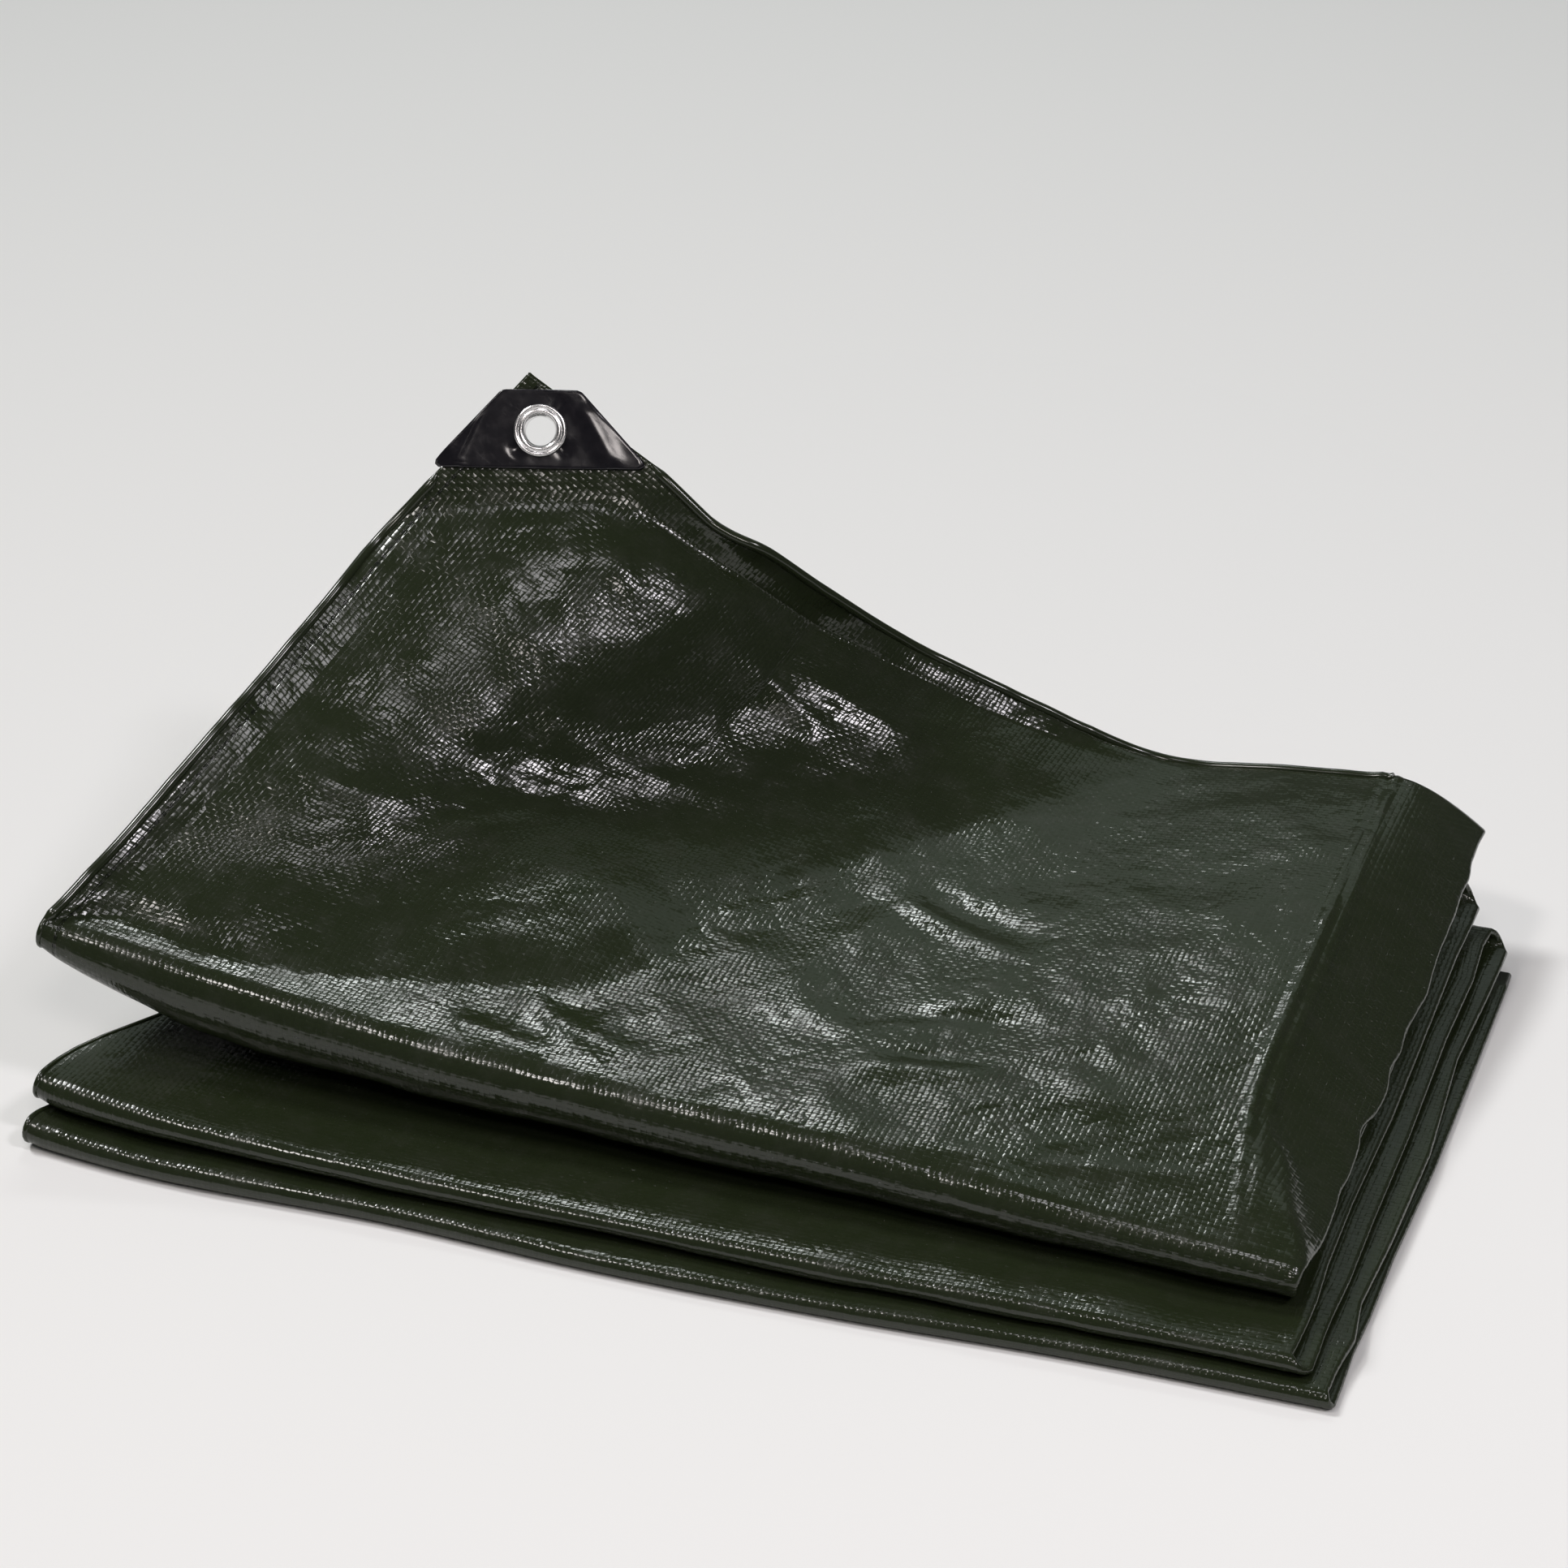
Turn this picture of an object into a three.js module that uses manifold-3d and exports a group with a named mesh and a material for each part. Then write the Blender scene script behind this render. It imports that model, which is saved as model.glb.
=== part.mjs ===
// A woven polyethylene tarpaulin, folded into a flat packet with one eyelet corner lifted.
// Millimetres, +Z up. X runs along the front folds, Y to the back, the packet rests on Z = 0.
import * as THREE from 'three';
import { mergeVertices } from 'three/addons/utils/BufferGeometryUtils.js';
import Module from 'manifold-3d';

const wasm = await Module();
wasm.setup();

// Driving dimensions
const SHEET = 1.1;            // one layer, which stands for the several that lie flat on each other
const PAIR = 1.7;             // between the middles of the two layers of the doubled sheet
const TOP_FRONT = 26;         // where the top sheet leaves its front fold
const TOP_LEFT = -8;          // its hemmed left edge
const TOP_LENGTH = 300;       // from that fold to its back edge
const BACK_FOLD = 301;        // reach of the uppermost fold at the back
const BACK_STEP = 3;          // how much further in the next one lies
const BOTTOM_END = 290;       // free end of the lowest ply
const SHOULDER = 447;         // where the right edges lie closed
const SHOULDER_START = 5;     // how far back that begins
const SHOULDER_LENGTH = 45;   // and over what length
const CREASE = 410;           // sharp crease along the right of the top
const CREASE_FRONT = 445;     // where it leaves the front fold
const CREASE_LENGTH = 75;     // how far back it has come in
const CREASE_ROUND = 1.1;     // how hollow the slope beside it is, in front
const CREASE_ROUND_BACK = 1.7;
const ROUND_FROM = 200;       // where that hollow grows, and over what length
const ROUND_LENGTH = 100;
const EDGE_GAP = 4.4;         // from ply to ply at the right edges, in front
const EDGE_OPENING = 3.2;     // what that gains towards the back
const OPENING_FROM = 110;     // where it begins to, and over what length
const OPENING_LENGTH = 200;
const RISE_LENGTH = 275;      // how far back the plies reach their spacing at the back
const FOLD_BULGE = 1.15;      // depth of a front fold over half its height
const FOLD_BULGE_MOST = 8;
const EAR_RISE = 5;           // lift of the left ends in front, and where it fades out
const EAR_FROM = 10;
const EAR_WIDTH = 24;
const EAR_BACK = 45;
const PATCH_NEAR = 11.8;      // patch edges, measured from the sheet's corner along its diagonal
const PATCH_FAR = 41.6;
const PATCH_TOP = 29;         // their lengths
const PATCH_BASE = 80;
const PATCH_SHEET = 1.0;
const PATCH_ROUND = 2;        // cut of the patch's long corners
const SEAT = 0.35;            // running gap between cloth, patch and eyelet
const EYELET_AT = 27.3;       // from the sheet's corner along its diagonal
const EYELET_FLANGE = 10;     // radii
const EYELET_BORE = 5.6;
const EYELET_WALL = 0.6;
const FLANGE_SHEET = 0.8;
const FLANGE_ROLL = 1.1;      // height of the rolled rim
const ROLL_WIDTH = 2.2;
const ROLL_TOP = 0.9;         // how far in from the rim the roll is highest
const BARREL_EDGE = 0.3;      // rounding where the barrel meets the flange, and its end past the washer
const BARREL_CURVE = 0.6;
const WASHER_IN = 0.2;        // how much smaller the washer is
const WASHER_EDGE = 0.6;      // bevel of its rim
const HOLE_CLEARANCE = 0.35;

// Front folds from left to right: how far forward each of the three books reaches,
// and the height of the middle of each ply just behind its fold, the top ply first.
const FRONT = [
  { x: -14, reach1: 22, reach2: -2, reach3: -9, ply1: 68.5, ply2: 62.0, ply3: 23.5, ply4: 19.0, ply5: 10.5 },
  { x: 0, reach1: 23, reach2: -3, reach3: -13, ply1: 66.5, ply2: 53.0, ply3: 21.5, ply4: 13.8, ply5: 8.8 },
  { x: 55, reach1: 24, reach2: -8, reach3: -17, ply1: 57.5, ply2: 33.5, ply3: 19.0, ply4: 11.8, ply5: 7.4 },
  { x: 140, reach1: 25, reach2: -6, reach3: -13, ply1: 47.0, ply2: 25.5, ply3: 15.6, ply4: 10.0, ply5: 6.0 },
  { x: 220, reach1: 26, reach2: -4, reach3: -14, ply1: 42.0, ply2: 22.0, ply3: 14.2, ply4: 9.3, ply5: 5.4 },
  { x: 300, reach1: 27, reach2: -2, reach3: -11, ply1: 37.5, ply2: 19.6, ply3: 13.4, ply4: 9.1, ply5: 5.3 },
  { x: 380, reach1: 27, reach2: 1, reach3: -5, ply1: 30.5, ply2: 17.4, ply3: 12.9, ply4: 8.9, ply5: 5.2 },
  { x: 465, reach1: 27, reach2: 3, reach3: -2, ply1: 26.4, ply2: 16.2, ply3: 12.6, ply4: 8.8, ply5: 5.2 },
];

// Distances from ply to ply at the back, the top pair first
const BACK = [
  { x: 0, gap1: 15, gap2: 11, gap3: 10, gap4: 9, gap5: 8.5 },
  { x: 150, gap1: 12, gap2: 11.5, gap3: 9.5, gap4: 10.5, gap5: 9 },
  { x: 300, gap1: 10.5, gap2: 10, gap3: 9.5, gap4: 9, gap5: 8.5 },
  { x: 400, gap1: 16, gap2: 11, gap3: 10.5, gap4: 9.5, gap5: 9 },
  { x: 465, gap1: 14, gap2: 11, gap3: 10, gap4: 10, gap5: 9 },
];

// Right and left ends of the plies: the left hems stand furthest out in the front folds
const ENDS = [
  { right: 445.1, ear: TOP_LEFT, left: 4, drawIn: 8 },
  { right: 442.5, ear: -9, left: 2, drawIn: 14 },
  { right: 448.5, ear: 2, left: 3, drawIn: 27 },
  { right: 455.0, ear: 1, left: 4, drawIn: 24 },
  { right: 461.5, ear: 2, left: 5, drawIn: 20 },
  { right: 464.0, ear: 2, left: 6, drawIn: 15 },
];
const EAR_LENGTH = 14;        // how soon behind the fold a hem leaves its ear
const DRAW_IN_LENGTH = 74;    // and how far back it goes on drawing in
const LOWER_LAYER_IN = 6;     // the lower layer's hem lies this much further in
const LOWER_BACK_IN = 10;     // and at the top's back edge
const LOWER_BACK_FROM = 0.9;  // over this last share of the ply

// The stiff corner with the patch: a flat piece that is turned forward out of the lifted cloth.
// The patch sits square on the corner's middle line, the cloth's edges a little turned to it.
const CORNER = new THREE.Vector3(86.2, 255, 211.6);
const PATCH_RIGHT = new THREE.Vector3(0.765, -0.055, -0.642).normalize();
const PATCH_LEFT = new THREE.Vector3(-0.527, -0.549, -0.647);
PATCH_LEFT.addScaledVector(PATCH_RIGHT, -PATCH_LEFT.dot(PATCH_RIGHT)).normalize();
const CORNER_NORMAL = new THREE.Vector3().crossVectors(PATCH_LEFT, PATCH_RIGHT);
const EDGE_TURN = THREE.MathUtils.degToRad(3);
const ALONG_BACK = PATCH_RIGHT.clone().applyAxisAngle(CORNER_NORMAL, EDGE_TURN);
const DOWN_LEFT = PATCH_LEFT.clone().applyAxisAngle(CORNER_NORMAL, EDGE_TURN);
const STIFF_TO = 66;          // reach of the flat corner, as the sum of its distances from both edges
const BEND_AT = 84;           // where it meets the slope of the lifted cloth
const BLEND_TO = 120;         // end of the bend
const BEND_ROUND = 25;        // rounding of that line into the back edge
const CORNER_TRIM = 7;        // what the back edge draws in at the corner
const CORNER_TRIM_TO = 62;    // how far along the edge
const CORNER_TRIM_FROM = 0.75; // and over what share of the ply, to its back edge
const LIFT_FADE = 60;         // how soon the lift fades out along the back edge
const LEAST_BEHIND = 0.01;    // from the front fold, where the fan of straight lines starts

const onCorner = (right, u, left, w) => CORNER.clone().addScaledVector(right, u).addScaledVector(left, w);
const inCorner = (u, w) => onCorner(ALONG_BACK, u, DOWN_LEFT, w);

// Back edge of the top sheet beyond its stiff corner, by distance along it, to where it lies flat
const BEND_END = inCorner(BEND_AT, 0);
const BACK_EDGE = [
  { u: BEND_AT, x: BEND_END.x, y: BEND_END.y, z: BEND_END.z },
  { u: 112, x: 174.5, y: 257, z: 149 },
  { u: 150, x: 194, y: 274, z: 127 },
  { u: 200, x: 222, y: 295, z: 100 },
  { u: 250, x: 259, y: 308, z: 79 },
  { u: 300, x: 299, y: 318, z: 61 },
  { u: 350, x: 342, y: 326, z: 52.5 },
];

// Small helpers
const smooth = (t) => {
  const s = Math.min(1, Math.max(0, t));
  return s * s * (3 - 2 * s);
};
const mix = (a, b, t) => a + (b - a) * t;

// Smooth curve through one column of a table, straight on past its ends
function column(rows, key, name, at) {
  const last = rows.length - 1;
  let i = 0;
  while (i < last - 1 && at > rows[i + 1][key]) i += 1;
  const slope = (j) => {
    const a = rows[Math.max(0, j - 1)];
    const b = rows[Math.min(last, j + 1)];
    return (b[name] - a[name]) / (b[key] - a[key]);
  };
  const p = rows[i];
  const q = rows[i + 1];
  const h = q[key] - p[key];
  const t = Math.min(1, Math.max(0, (at - p[key]) / h));
  const t2 = t * t;
  const t3 = t2 * t;
  return (2 * t3 - 3 * t2 + 1) * p[name] + (t3 - 2 * t2 + t) * h * slope(i)
    + (3 * t2 - 2 * t3) * q[name] + (t3 - t2) * h * slope(i + 1);
}

// Height of the middle of a ply, numbered from the top, over a point of the floor
const PLIES = 6;
const LOWEST = (PAIR + SHEET) / 2;

function frontGap(j, x) {
  const upper = column(FRONT, 'x', `ply${j}`, x);
  const lower = j + 1 < PLIES ? column(FRONT, 'x', `ply${j + 1}`, x) : LOWEST;
  return upper - lower;
}

function plyHeight(ply, x, y) {
  const rise = 1 - (1 - Math.min(1, Math.max(0, (y - TOP_FRONT) / RISE_LENGTH))) ** 2;
  const crease = mix(CREASE_FRONT, CREASE, smooth((y - TOP_FRONT) / CREASE_LENGTH));
  const inFromEdge = Math.min(1, Math.max(0, (SHOULDER - x) / (SHOULDER - crease)));
  const hollow = mix(CREASE_ROUND, CREASE_ROUND_BACK, smooth((y - ROUND_FROM) / ROUND_LENGTH));
  const shoulder = 1 - (1 - inFromEdge) ** hollow;
  const opened = mix(1, shoulder, smooth((y - SHOULDER_START) / SHOULDER_LENGTH));
  const edge = EDGE_GAP + EDGE_OPENING * smooth((y - OPENING_FROM) / OPENING_LENGTH);
  let z = LOWEST;
  for (let j = PLIES - 1; j >= ply; j -= 1) {
    const puffed = mix(frontGap(j, x), column(BACK, 'x', `gap${j}`, x), rise);
    z += mix(edge, puffed, opened);
  }
  const ear = EAR_RISE * smooth((EAR_FROM - x) / EAR_WIDTH) * smooth((EAR_BACK - y) / EAR_BACK);
  return z + ear;
}

// Top sheet as it would lie unlifted
function lyingTop(u, v) {
  const x = TOP_LEFT + u;
  const y = TOP_FRONT + v;
  return new THREE.Vector3(x, y, plyHeight(1, x, y) + PAIR / 2);
}

// A point w in from the lifted back edge
function nearBackEdge(u, w) {
  if (u < BEND_AT) return inCorner(u, w);
  const edge = new THREE.Vector3(...['x', 'y', 'z'].map((name) => column(BACK_EDGE, 'u', name, u)));
  return edge.addScaledVector(DOWN_LEFT, w);
}

// The lifted cloth is a fan of straight lines from the left end of the front fold to a rim,
// which follows the bend of the stiff corner and then the back edge.
const RIM_STEPS = 12;

function rimOn(onEdge) {
  let u = onEdge;
  let w = 0;
  for (let step = 0; step < RIM_STEPS; step += 1) {
    w = ((BEND_AT - u) + Math.hypot(BEND_AT - u, BEND_ROUND)) / 2;
    u = onEdge * (1 - w / TOP_LENGTH);
  }
  return { u, w };
}

function liftedTop(u, v, lying) {
  const point = lying.clone();
  const onEdge = v > LEAST_BEHIND ? (u * TOP_LENGTH) / v : Infinity;
  const fanEnd = BACK_EDGE[BACK_EDGE.length - 1].u;
  if (onEdge < fanEnd) {
    const rim = rimOn(onEdge);
    const rimV = TOP_LENGTH - rim.w;
    const lift = nearBackEdge(rim.u, rim.w).sub(lyingTop(rim.u, rimV));
    point.addScaledVector(lift, smooth((fanEnd - onEdge) / LIFT_FADE) * (v / rimV));
  }
  const w = TOP_LENGTH - v;
  const stiff = 1 - smooth((u + w - STIFF_TO) / (BLEND_TO - STIFF_TO));
  return point.lerp(inCorner(u, w), stiff);
}

// Stations along the sheet, from the back edge of the top ply down to the end of the lowest
const TOP_SHARES = [
  1, 0.965, 0.93, 0.89, 0.84, 0.78, 0.71, 0.63, 0.54, 0.45, 0.36, 0.27, 0.18, 0.11, 0.05, 0,
];
const PLY_SHARES = [0, 0.025, 0.07, 0.15, 0.3, 0.5, 0.75, 1];
const FRONT_TURN = [30, 60, 90, 120, 150];
const BACK_TURN = [45, 90, 135];

function pathStations() {
  const stations = [];
  for (let ply = 1; ply <= PLIES; ply += 1) {
    const shares = ply === 1 ? TOP_SHARES : PLY_SHARES.slice();
    if (ply > 1 && ply % 2 === 1) shares.reverse();
    shares.forEach((share) => stations.push({ ply, share }));
    if (ply === PLIES) break;
    const turn = ply % 2 === 1 ? FRONT_TURN : BACK_TURN;
    turn.forEach((degrees) => stations.push({ ply, turn: degrees }));
  }
  return stations;
}

// Stations across it, in three zones: from the left end to LEFT_ZONE, on to the crease, and to the
// right end. The upper layer runs from the left hem to the hairpin at the right, the lower one back.
const ACROSS = [
  { zone: 0, shares: [0, 0.07, 0.14, 0.23, 0.33, 0.46, 0.63, 0.82] },
  { zone: 1, shares: [0, 0.16, 0.34, 0.52, 0.7, 0.86] },
  { zone: 2, shares: [0, 0.5, 1] },
];
const LEFT_ZONE = 150;
const HAIRPIN_TURN = [60, 120];

function crossStations() {
  const upper = ACROSS.flatMap(({ zone, shares }) => shares.map((share) => ({ zone, share })));
  const lower = upper.slice().reverse();
  const hairpin = HAIRPIN_TURN.map((degrees) => THREE.MathUtils.degToRad(degrees));
  return [
    ...upper.map((place) => ({ ...place, side: 1, out: 0 })),
    ...hairpin.map((a) => ({ zone: 2, share: 1, side: Math.cos(a), out: (Math.sin(a) * PAIR) / 2 })),
    ...lower.map((place) => ({ ...place, side: -1, out: 0 })),
  ];
}

// Left end of a ply at a distance behind its front fold
function leftEnd(ply, side, behind) {
  const { ear, left, drawIn } = ENDS[ply - 1];
  if (ply === 1 && side > 0) return TOP_LEFT;
  const inner = ((1 - side) * LOWER_LAYER_IN) / 2;
  const past = smooth((behind - EAR_LENGTH / 2) / DRAW_IN_LENGTH);
  return mix(ear, left, smooth(behind / EAR_LENGTH)) + drawIn * past + inner;
}

const bulge = (half, front) => (front ? Math.min(half * FOLD_BULGE, FOLD_BULGE_MOST) : half);

// Where the straight run of a ply starts and ends over the floor, at a place across
function runOf(ply, x) {
  const book = Math.ceil(ply / 2);
  const reach = column(FRONT, 'x', `reach${book}`, x);
  const upperOfBook = 2 * book - 1;
  const foldHalf = (plyHeight(upperOfBook, x, reach) - plyHeight(upperOfBook + 1, x, reach)) / 2;
  const front = reach + PAIR / 2 + bulge(foldHalf, true);
  if (ply === 1) return { front, back: TOP_FRONT + TOP_LENGTH };
  if (ply === PLIES) return { front, back: BOTTOM_END };
  const upperAtBack = ply % 2 === 0 ? ply : ply - 1;
  const backHalf = (plyHeight(upperAtBack, x, BACK_FOLD) - plyHeight(upperAtBack + 1, x, BACK_FOLD)) / 2;
  return { front, back: BACK_FOLD - BACK_STEP * (upperAtBack / 2 - 1) - PAIR / 2 - backHalf };
}

// Middle of the doubled sheet at a station, over a place across
function middle(station, x) {
  const { ply } = station;
  const run = runOf(ply, x);
  if (station.turn === undefined) {
    const y = mix(run.front, run.back, station.share);
    return new THREE.Vector3(x, y, plyHeight(ply, x, y));
  }
  const front = ply % 2 === 1;
  const a = THREE.MathUtils.degToRad(station.turn);
  const y0 = front ? run.front : run.back;
  const upper = plyHeight(ply, x, y0);
  const lower = plyHeight(ply + 1, x, y0);
  const half = (upper - lower) / 2;
  const y = y0 + (front ? -1 : 1) * bulge(half, front) * Math.sin(a);
  return new THREE.Vector3(x, y, (upper + lower) / 2 + half * Math.cos(a));
}

function placeAcross(station, cross) {
  const { ply } = station;
  let left = leftEnd(ply, cross.side, station.share * TOP_LENGTH);
  let { right } = ENDS[ply - 1];
  if (station.turn !== undefined) {
    const behind = ply % 2 === 1 ? 0 : TOP_LENGTH;
    const down = station.turn / 180;
    left = mix(leftEnd(ply, cross.side, behind), leftEnd(ply + 1, cross.side, behind), down);
    right = mix(right, ENDS[ply].right, down);
  }
  const stops = [left, LEFT_ZONE, CREASE, right];
  return mix(stops[cross.zone], stops[cross.zone + 1], cross.share);
}

// One point of a layer: off the middle of the doubled sheet, square to it
function sheetPoint(stations, i, cross) {
  const station = stations[i];
  const x = placeAcross(station, cross);
  const point = middle(station, x);
  const before = middle(stations[Math.max(0, i - 1)], x);
  const after = middle(stations[Math.min(stations.length - 1, i + 1)], x);
  const across = middle(station, x + 1).sub(middle(station, x - 1)).normalize();
  const square = after.sub(before).cross(across).normalize();
  point.addScaledVector(square, (cross.side * PAIR) / 2).addScaledVector(across, cross.out);
  const onTop = station.ply === 1 && station.turn === undefined;
  if (onTop && cross.side > 0) {
    const u = x - TOP_LEFT;
    const trimmed = smooth((station.share - CORNER_TRIM_FROM) / (1 - CORNER_TRIM_FROM));
    const cut = CORNER_TRIM * Math.max(0, 1 - u / CORNER_TRIM_TO) * trimmed;
    return liftedTop(u, point.y - TOP_FRONT - cut, point);
  }
  if (onTop) point.y -= LOWER_BACK_IN * smooth((station.share - LOWER_BACK_FROM) / (1 - LOWER_BACK_FROM));
  return point;
}

// A closed solid from a grid of middle points, half a thickness to either side. The diagonals of
// its cells lean the other way past the middle column, so that both layers are faceted alike.
function thicken(grid, thickness) {
  const rows = grid.length;
  const cols = grid[0].length;
  const normal = (i, j) => {
    const a = grid[Math.min(rows - 1, i + 1)][j].clone().sub(grid[Math.max(0, i - 1)][j]);
    const b = grid[i][Math.min(cols - 1, j + 1)].clone().sub(grid[i][Math.max(0, j - 1)]);
    return a.cross(b).normalize();
  };
  const positions = [];
  [1, -1].forEach((side) => {
    for (let i = 0; i < rows; i += 1) {
      for (let j = 0; j < cols; j += 1) {
        const p = grid[i][j].clone().addScaledVector(normal(i, j), (side * thickness) / 2);
        positions.push(p.x, p.y, p.z);
      }
    }
  });
  const at = (side, i, j) => side * rows * cols + i * cols + j;
  const index = [];
  const quad = (a, b, c, d) => index.push(a, b, c, a, c, d);
  for (let i = 0; i < rows - 1; i += 1) {
    for (let j = 0; j < cols - 1; j += 1) {
      if (j < (cols - 1) / 2) {
        quad(at(0, i + 1, j), at(0, i + 1, j + 1), at(0, i, j + 1), at(0, i, j));
        quad(at(1, i, j + 1), at(1, i + 1, j + 1), at(1, i + 1, j), at(1, i, j));
      } else {
        quad(at(0, i, j), at(0, i + 1, j), at(0, i + 1, j + 1), at(0, i, j + 1));
        quad(at(1, i, j), at(1, i, j + 1), at(1, i + 1, j + 1), at(1, i + 1, j));
      }
    }
  }
  for (let i = 0; i < rows - 1; i += 1) {
    quad(at(0, i + 1, 0), at(0, i, 0), at(1, i, 0), at(1, i + 1, 0));
    quad(at(0, i, cols - 1), at(0, i + 1, cols - 1), at(1, i + 1, cols - 1), at(1, i, cols - 1));
  }
  for (let j = 0; j < cols - 1; j += 1) {
    quad(at(0, 0, j), at(0, 0, j + 1), at(1, 0, j + 1), at(1, 0, j));
    quad(at(0, rows - 1, j + 1), at(0, rows - 1, j), at(1, rows - 1, j), at(1, rows - 1, j + 1));
  }
  const geometry = new THREE.BufferGeometry();
  geometry.setAttribute('position', new THREE.Float32BufferAttribute(positions, 3));
  geometry.setIndex(index);
  return geometry;
}

// Joining and cutting
function toManifold(geometry) {
  const bare = geometry.clone();
  ['normal', 'uv'].forEach((name) => bare.deleteAttribute(name));
  const merged = mergeVertices(bare, 1e-4);
  return new wasm.Manifold(new wasm.Mesh({
    numProp: 3,
    vertProperties: new Float32Array(merged.attributes.position.array),
    triVerts: new Uint32Array(merged.index.array),
  }));
}

function toGeometry(manifold) {
  const mesh = manifold.getMesh();
  const geometry = new THREE.BufferGeometry();
  geometry.setAttribute('position', new THREE.Float32BufferAttribute(mesh.vertProperties, 3));
  geometry.setIndex(Array.from(mesh.triVerts));
  geometry.computeVertexNormals();
  return geometry;
}

// Place of the eyelet: its centre in the flat corner, its axis square to it
const half = EYELET_AT / Math.SQRT2;
const EYELET_CENTRE = onCorner(PATCH_RIGHT, half, PATCH_LEFT, half);
const EYELET_TURN = new THREE.Quaternion().setFromUnitVectors(new THREE.Vector3(0, 0, 1), CORNER_NORMAL);
const ROUND_STEPS = 32;
const CUTTER_LENGTH = 30;

function holeCutter(radius) {
  const cutter = new THREE.CylinderGeometry(radius, radius, CUTTER_LENGTH, ROUND_STEPS);
  cutter.rotateX(Math.PI / 2);
  cutter.applyQuaternion(EYELET_TURN);
  cutter.translate(EYELET_CENTRE.x, EYELET_CENTRE.y, EYELET_CENTRE.z);
  return toManifold(cutter);
}

const HOLE = holeCutter(EYELET_BORE + EYELET_WALL + HOLE_CLEARANCE);

// Lathe solid about the eyelet's axis from rows of radius and height
function turned(profile) {
  const points = profile.map(([r, z]) => new THREE.Vector2(r, z));
  points.push(points[0].clone());
  const geometry = new THREE.LatheGeometry(points, ROUND_STEPS);
  geometry.rotateX(Math.PI / 2);
  return geometry;
}

// Materials
const cloth = new THREE.MeshStandardMaterial({ color: 0x2f3625, roughness: 0.45, metalness: 0 });
const plastic = new THREE.MeshStandardMaterial({ color: 0x141318, roughness: 0.28, metalness: 0 });
const metal = new THREE.MeshStandardMaterial({ color: 0xc9c7c6, roughness: 0.25, metalness: 1 });

function named(name, geometry, material) {
  const mesh = new THREE.Mesh(geometry, material);
  mesh.name = name;
  return mesh;
}

function tarp() {
  const across = crossStations();
  const stations = pathStations();
  const grid = stations.map((station, i) => across.map((cross) => sheetPoint(stations, i, cross)));
  const solid = toManifold(thicken(grid, SHEET));
  return named('tarp', toGeometry(solid.subtract(HOLE)), cloth);
}

// One plate of the corner patch, a trapezoid on the flat corner with its long corners cut
function patch(name, side) {
  const lift = side * (SHEET / 2 + SEAT);
  const outline = [
    [PATCH_NEAR, -PATCH_TOP / 2],
    [PATCH_FAR - PATCH_ROUND, -PATCH_BASE / 2],
    [PATCH_FAR, PATCH_ROUND - PATCH_BASE / 2],
    [PATCH_FAR, PATCH_BASE / 2 - PATCH_ROUND],
    [PATCH_FAR - PATCH_ROUND, PATCH_BASE / 2],
    [PATCH_NEAR, PATCH_TOP / 2],
  ].map(([down, aside]) => [(down + aside) / Math.SQRT2, (down - aside) / Math.SQRT2]);
  const shape = new THREE.Shape(outline.map(([u, w]) => new THREE.Vector2(u, w)));
  const plate = new THREE.ExtrudeGeometry(shape, { depth: PATCH_SHEET, bevelEnabled: false });
  const frame = new THREE.Matrix4().makeBasis(PATCH_RIGHT, PATCH_LEFT, CORNER_NORMAL.clone().negate());
  plate.translate(0, 0, side > 0 ? -lift - PATCH_SHEET : -lift);
  plate.applyMatrix4(frame);
  plate.translate(CORNER.x, CORNER.y, CORNER.z);
  return named(name, toGeometry(toManifold(plate).subtract(HOLE)), plastic);
}

// Height over the middle of the cloth at which the eyelet lies on the patch, in front and behind
const EYELET_SEAT = SHEET / 2 + 2 * SEAT + PATCH_SHEET;

function onEyeletAxis(name, profile) {
  const mesh = named(name, turned(profile), metal);
  mesh.quaternion.copy(EYELET_TURN);
  mesh.position.copy(EYELET_CENTRE);
  return mesh;
}

// Front half of the eyelet: rolled flange and the barrel that passes through patch and cloth
function eyelet() {
  const outer = EYELET_BORE + EYELET_WALL;
  const face = EYELET_SEAT + FLANGE_SHEET;
  return onEyeletAxis('eyelet', [
    [EYELET_BORE, -EYELET_SEAT - BARREL_EDGE],
    [outer, -EYELET_SEAT - BARREL_EDGE],
    [outer, EYELET_SEAT],
    [EYELET_FLANGE, EYELET_SEAT],
    [EYELET_FLANGE, EYELET_SEAT + FLANGE_ROLL / 2],
    [EYELET_FLANGE - ROLL_TOP, EYELET_SEAT + FLANGE_ROLL],
    [EYELET_FLANGE - ROLL_WIDTH, face],
    [outer + BARREL_CURVE, face],
    [outer - BARREL_EDGE, face - BARREL_EDGE],
    [EYELET_BORE, EYELET_SEAT - BARREL_EDGE],
  ]);
}

// Its washer on the back, closed round the end of the barrel
function washer() {
  const inner = EYELET_BORE + EYELET_WALL + SEAT;
  const rim = EYELET_FLANGE - WASHER_IN;
  return onEyeletAxis('eyelet_washer', [
    [inner, -EYELET_SEAT - FLANGE_SHEET],
    [rim - WASHER_EDGE, -EYELET_SEAT - FLANGE_SHEET],
    [rim, -EYELET_SEAT - FLANGE_SHEET / 2],
    [rim, -EYELET_SEAT],
    [inner, -EYELET_SEAT],
  ]);
}

// The whole, moved so that the middle of its footprint is the origin
const group = new THREE.Group();
group.add(tarp(), patch('corner_patch_front', 1), patch('corner_patch_back', -1), eyelet(), washer());
const box = new THREE.Box3().setFromObject(group, true);
group.position.set(-(box.min.x + box.max.x) / 2, -(box.min.y + box.max.y) / 2, -box.min.z);

export default group;
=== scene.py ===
import math

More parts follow.
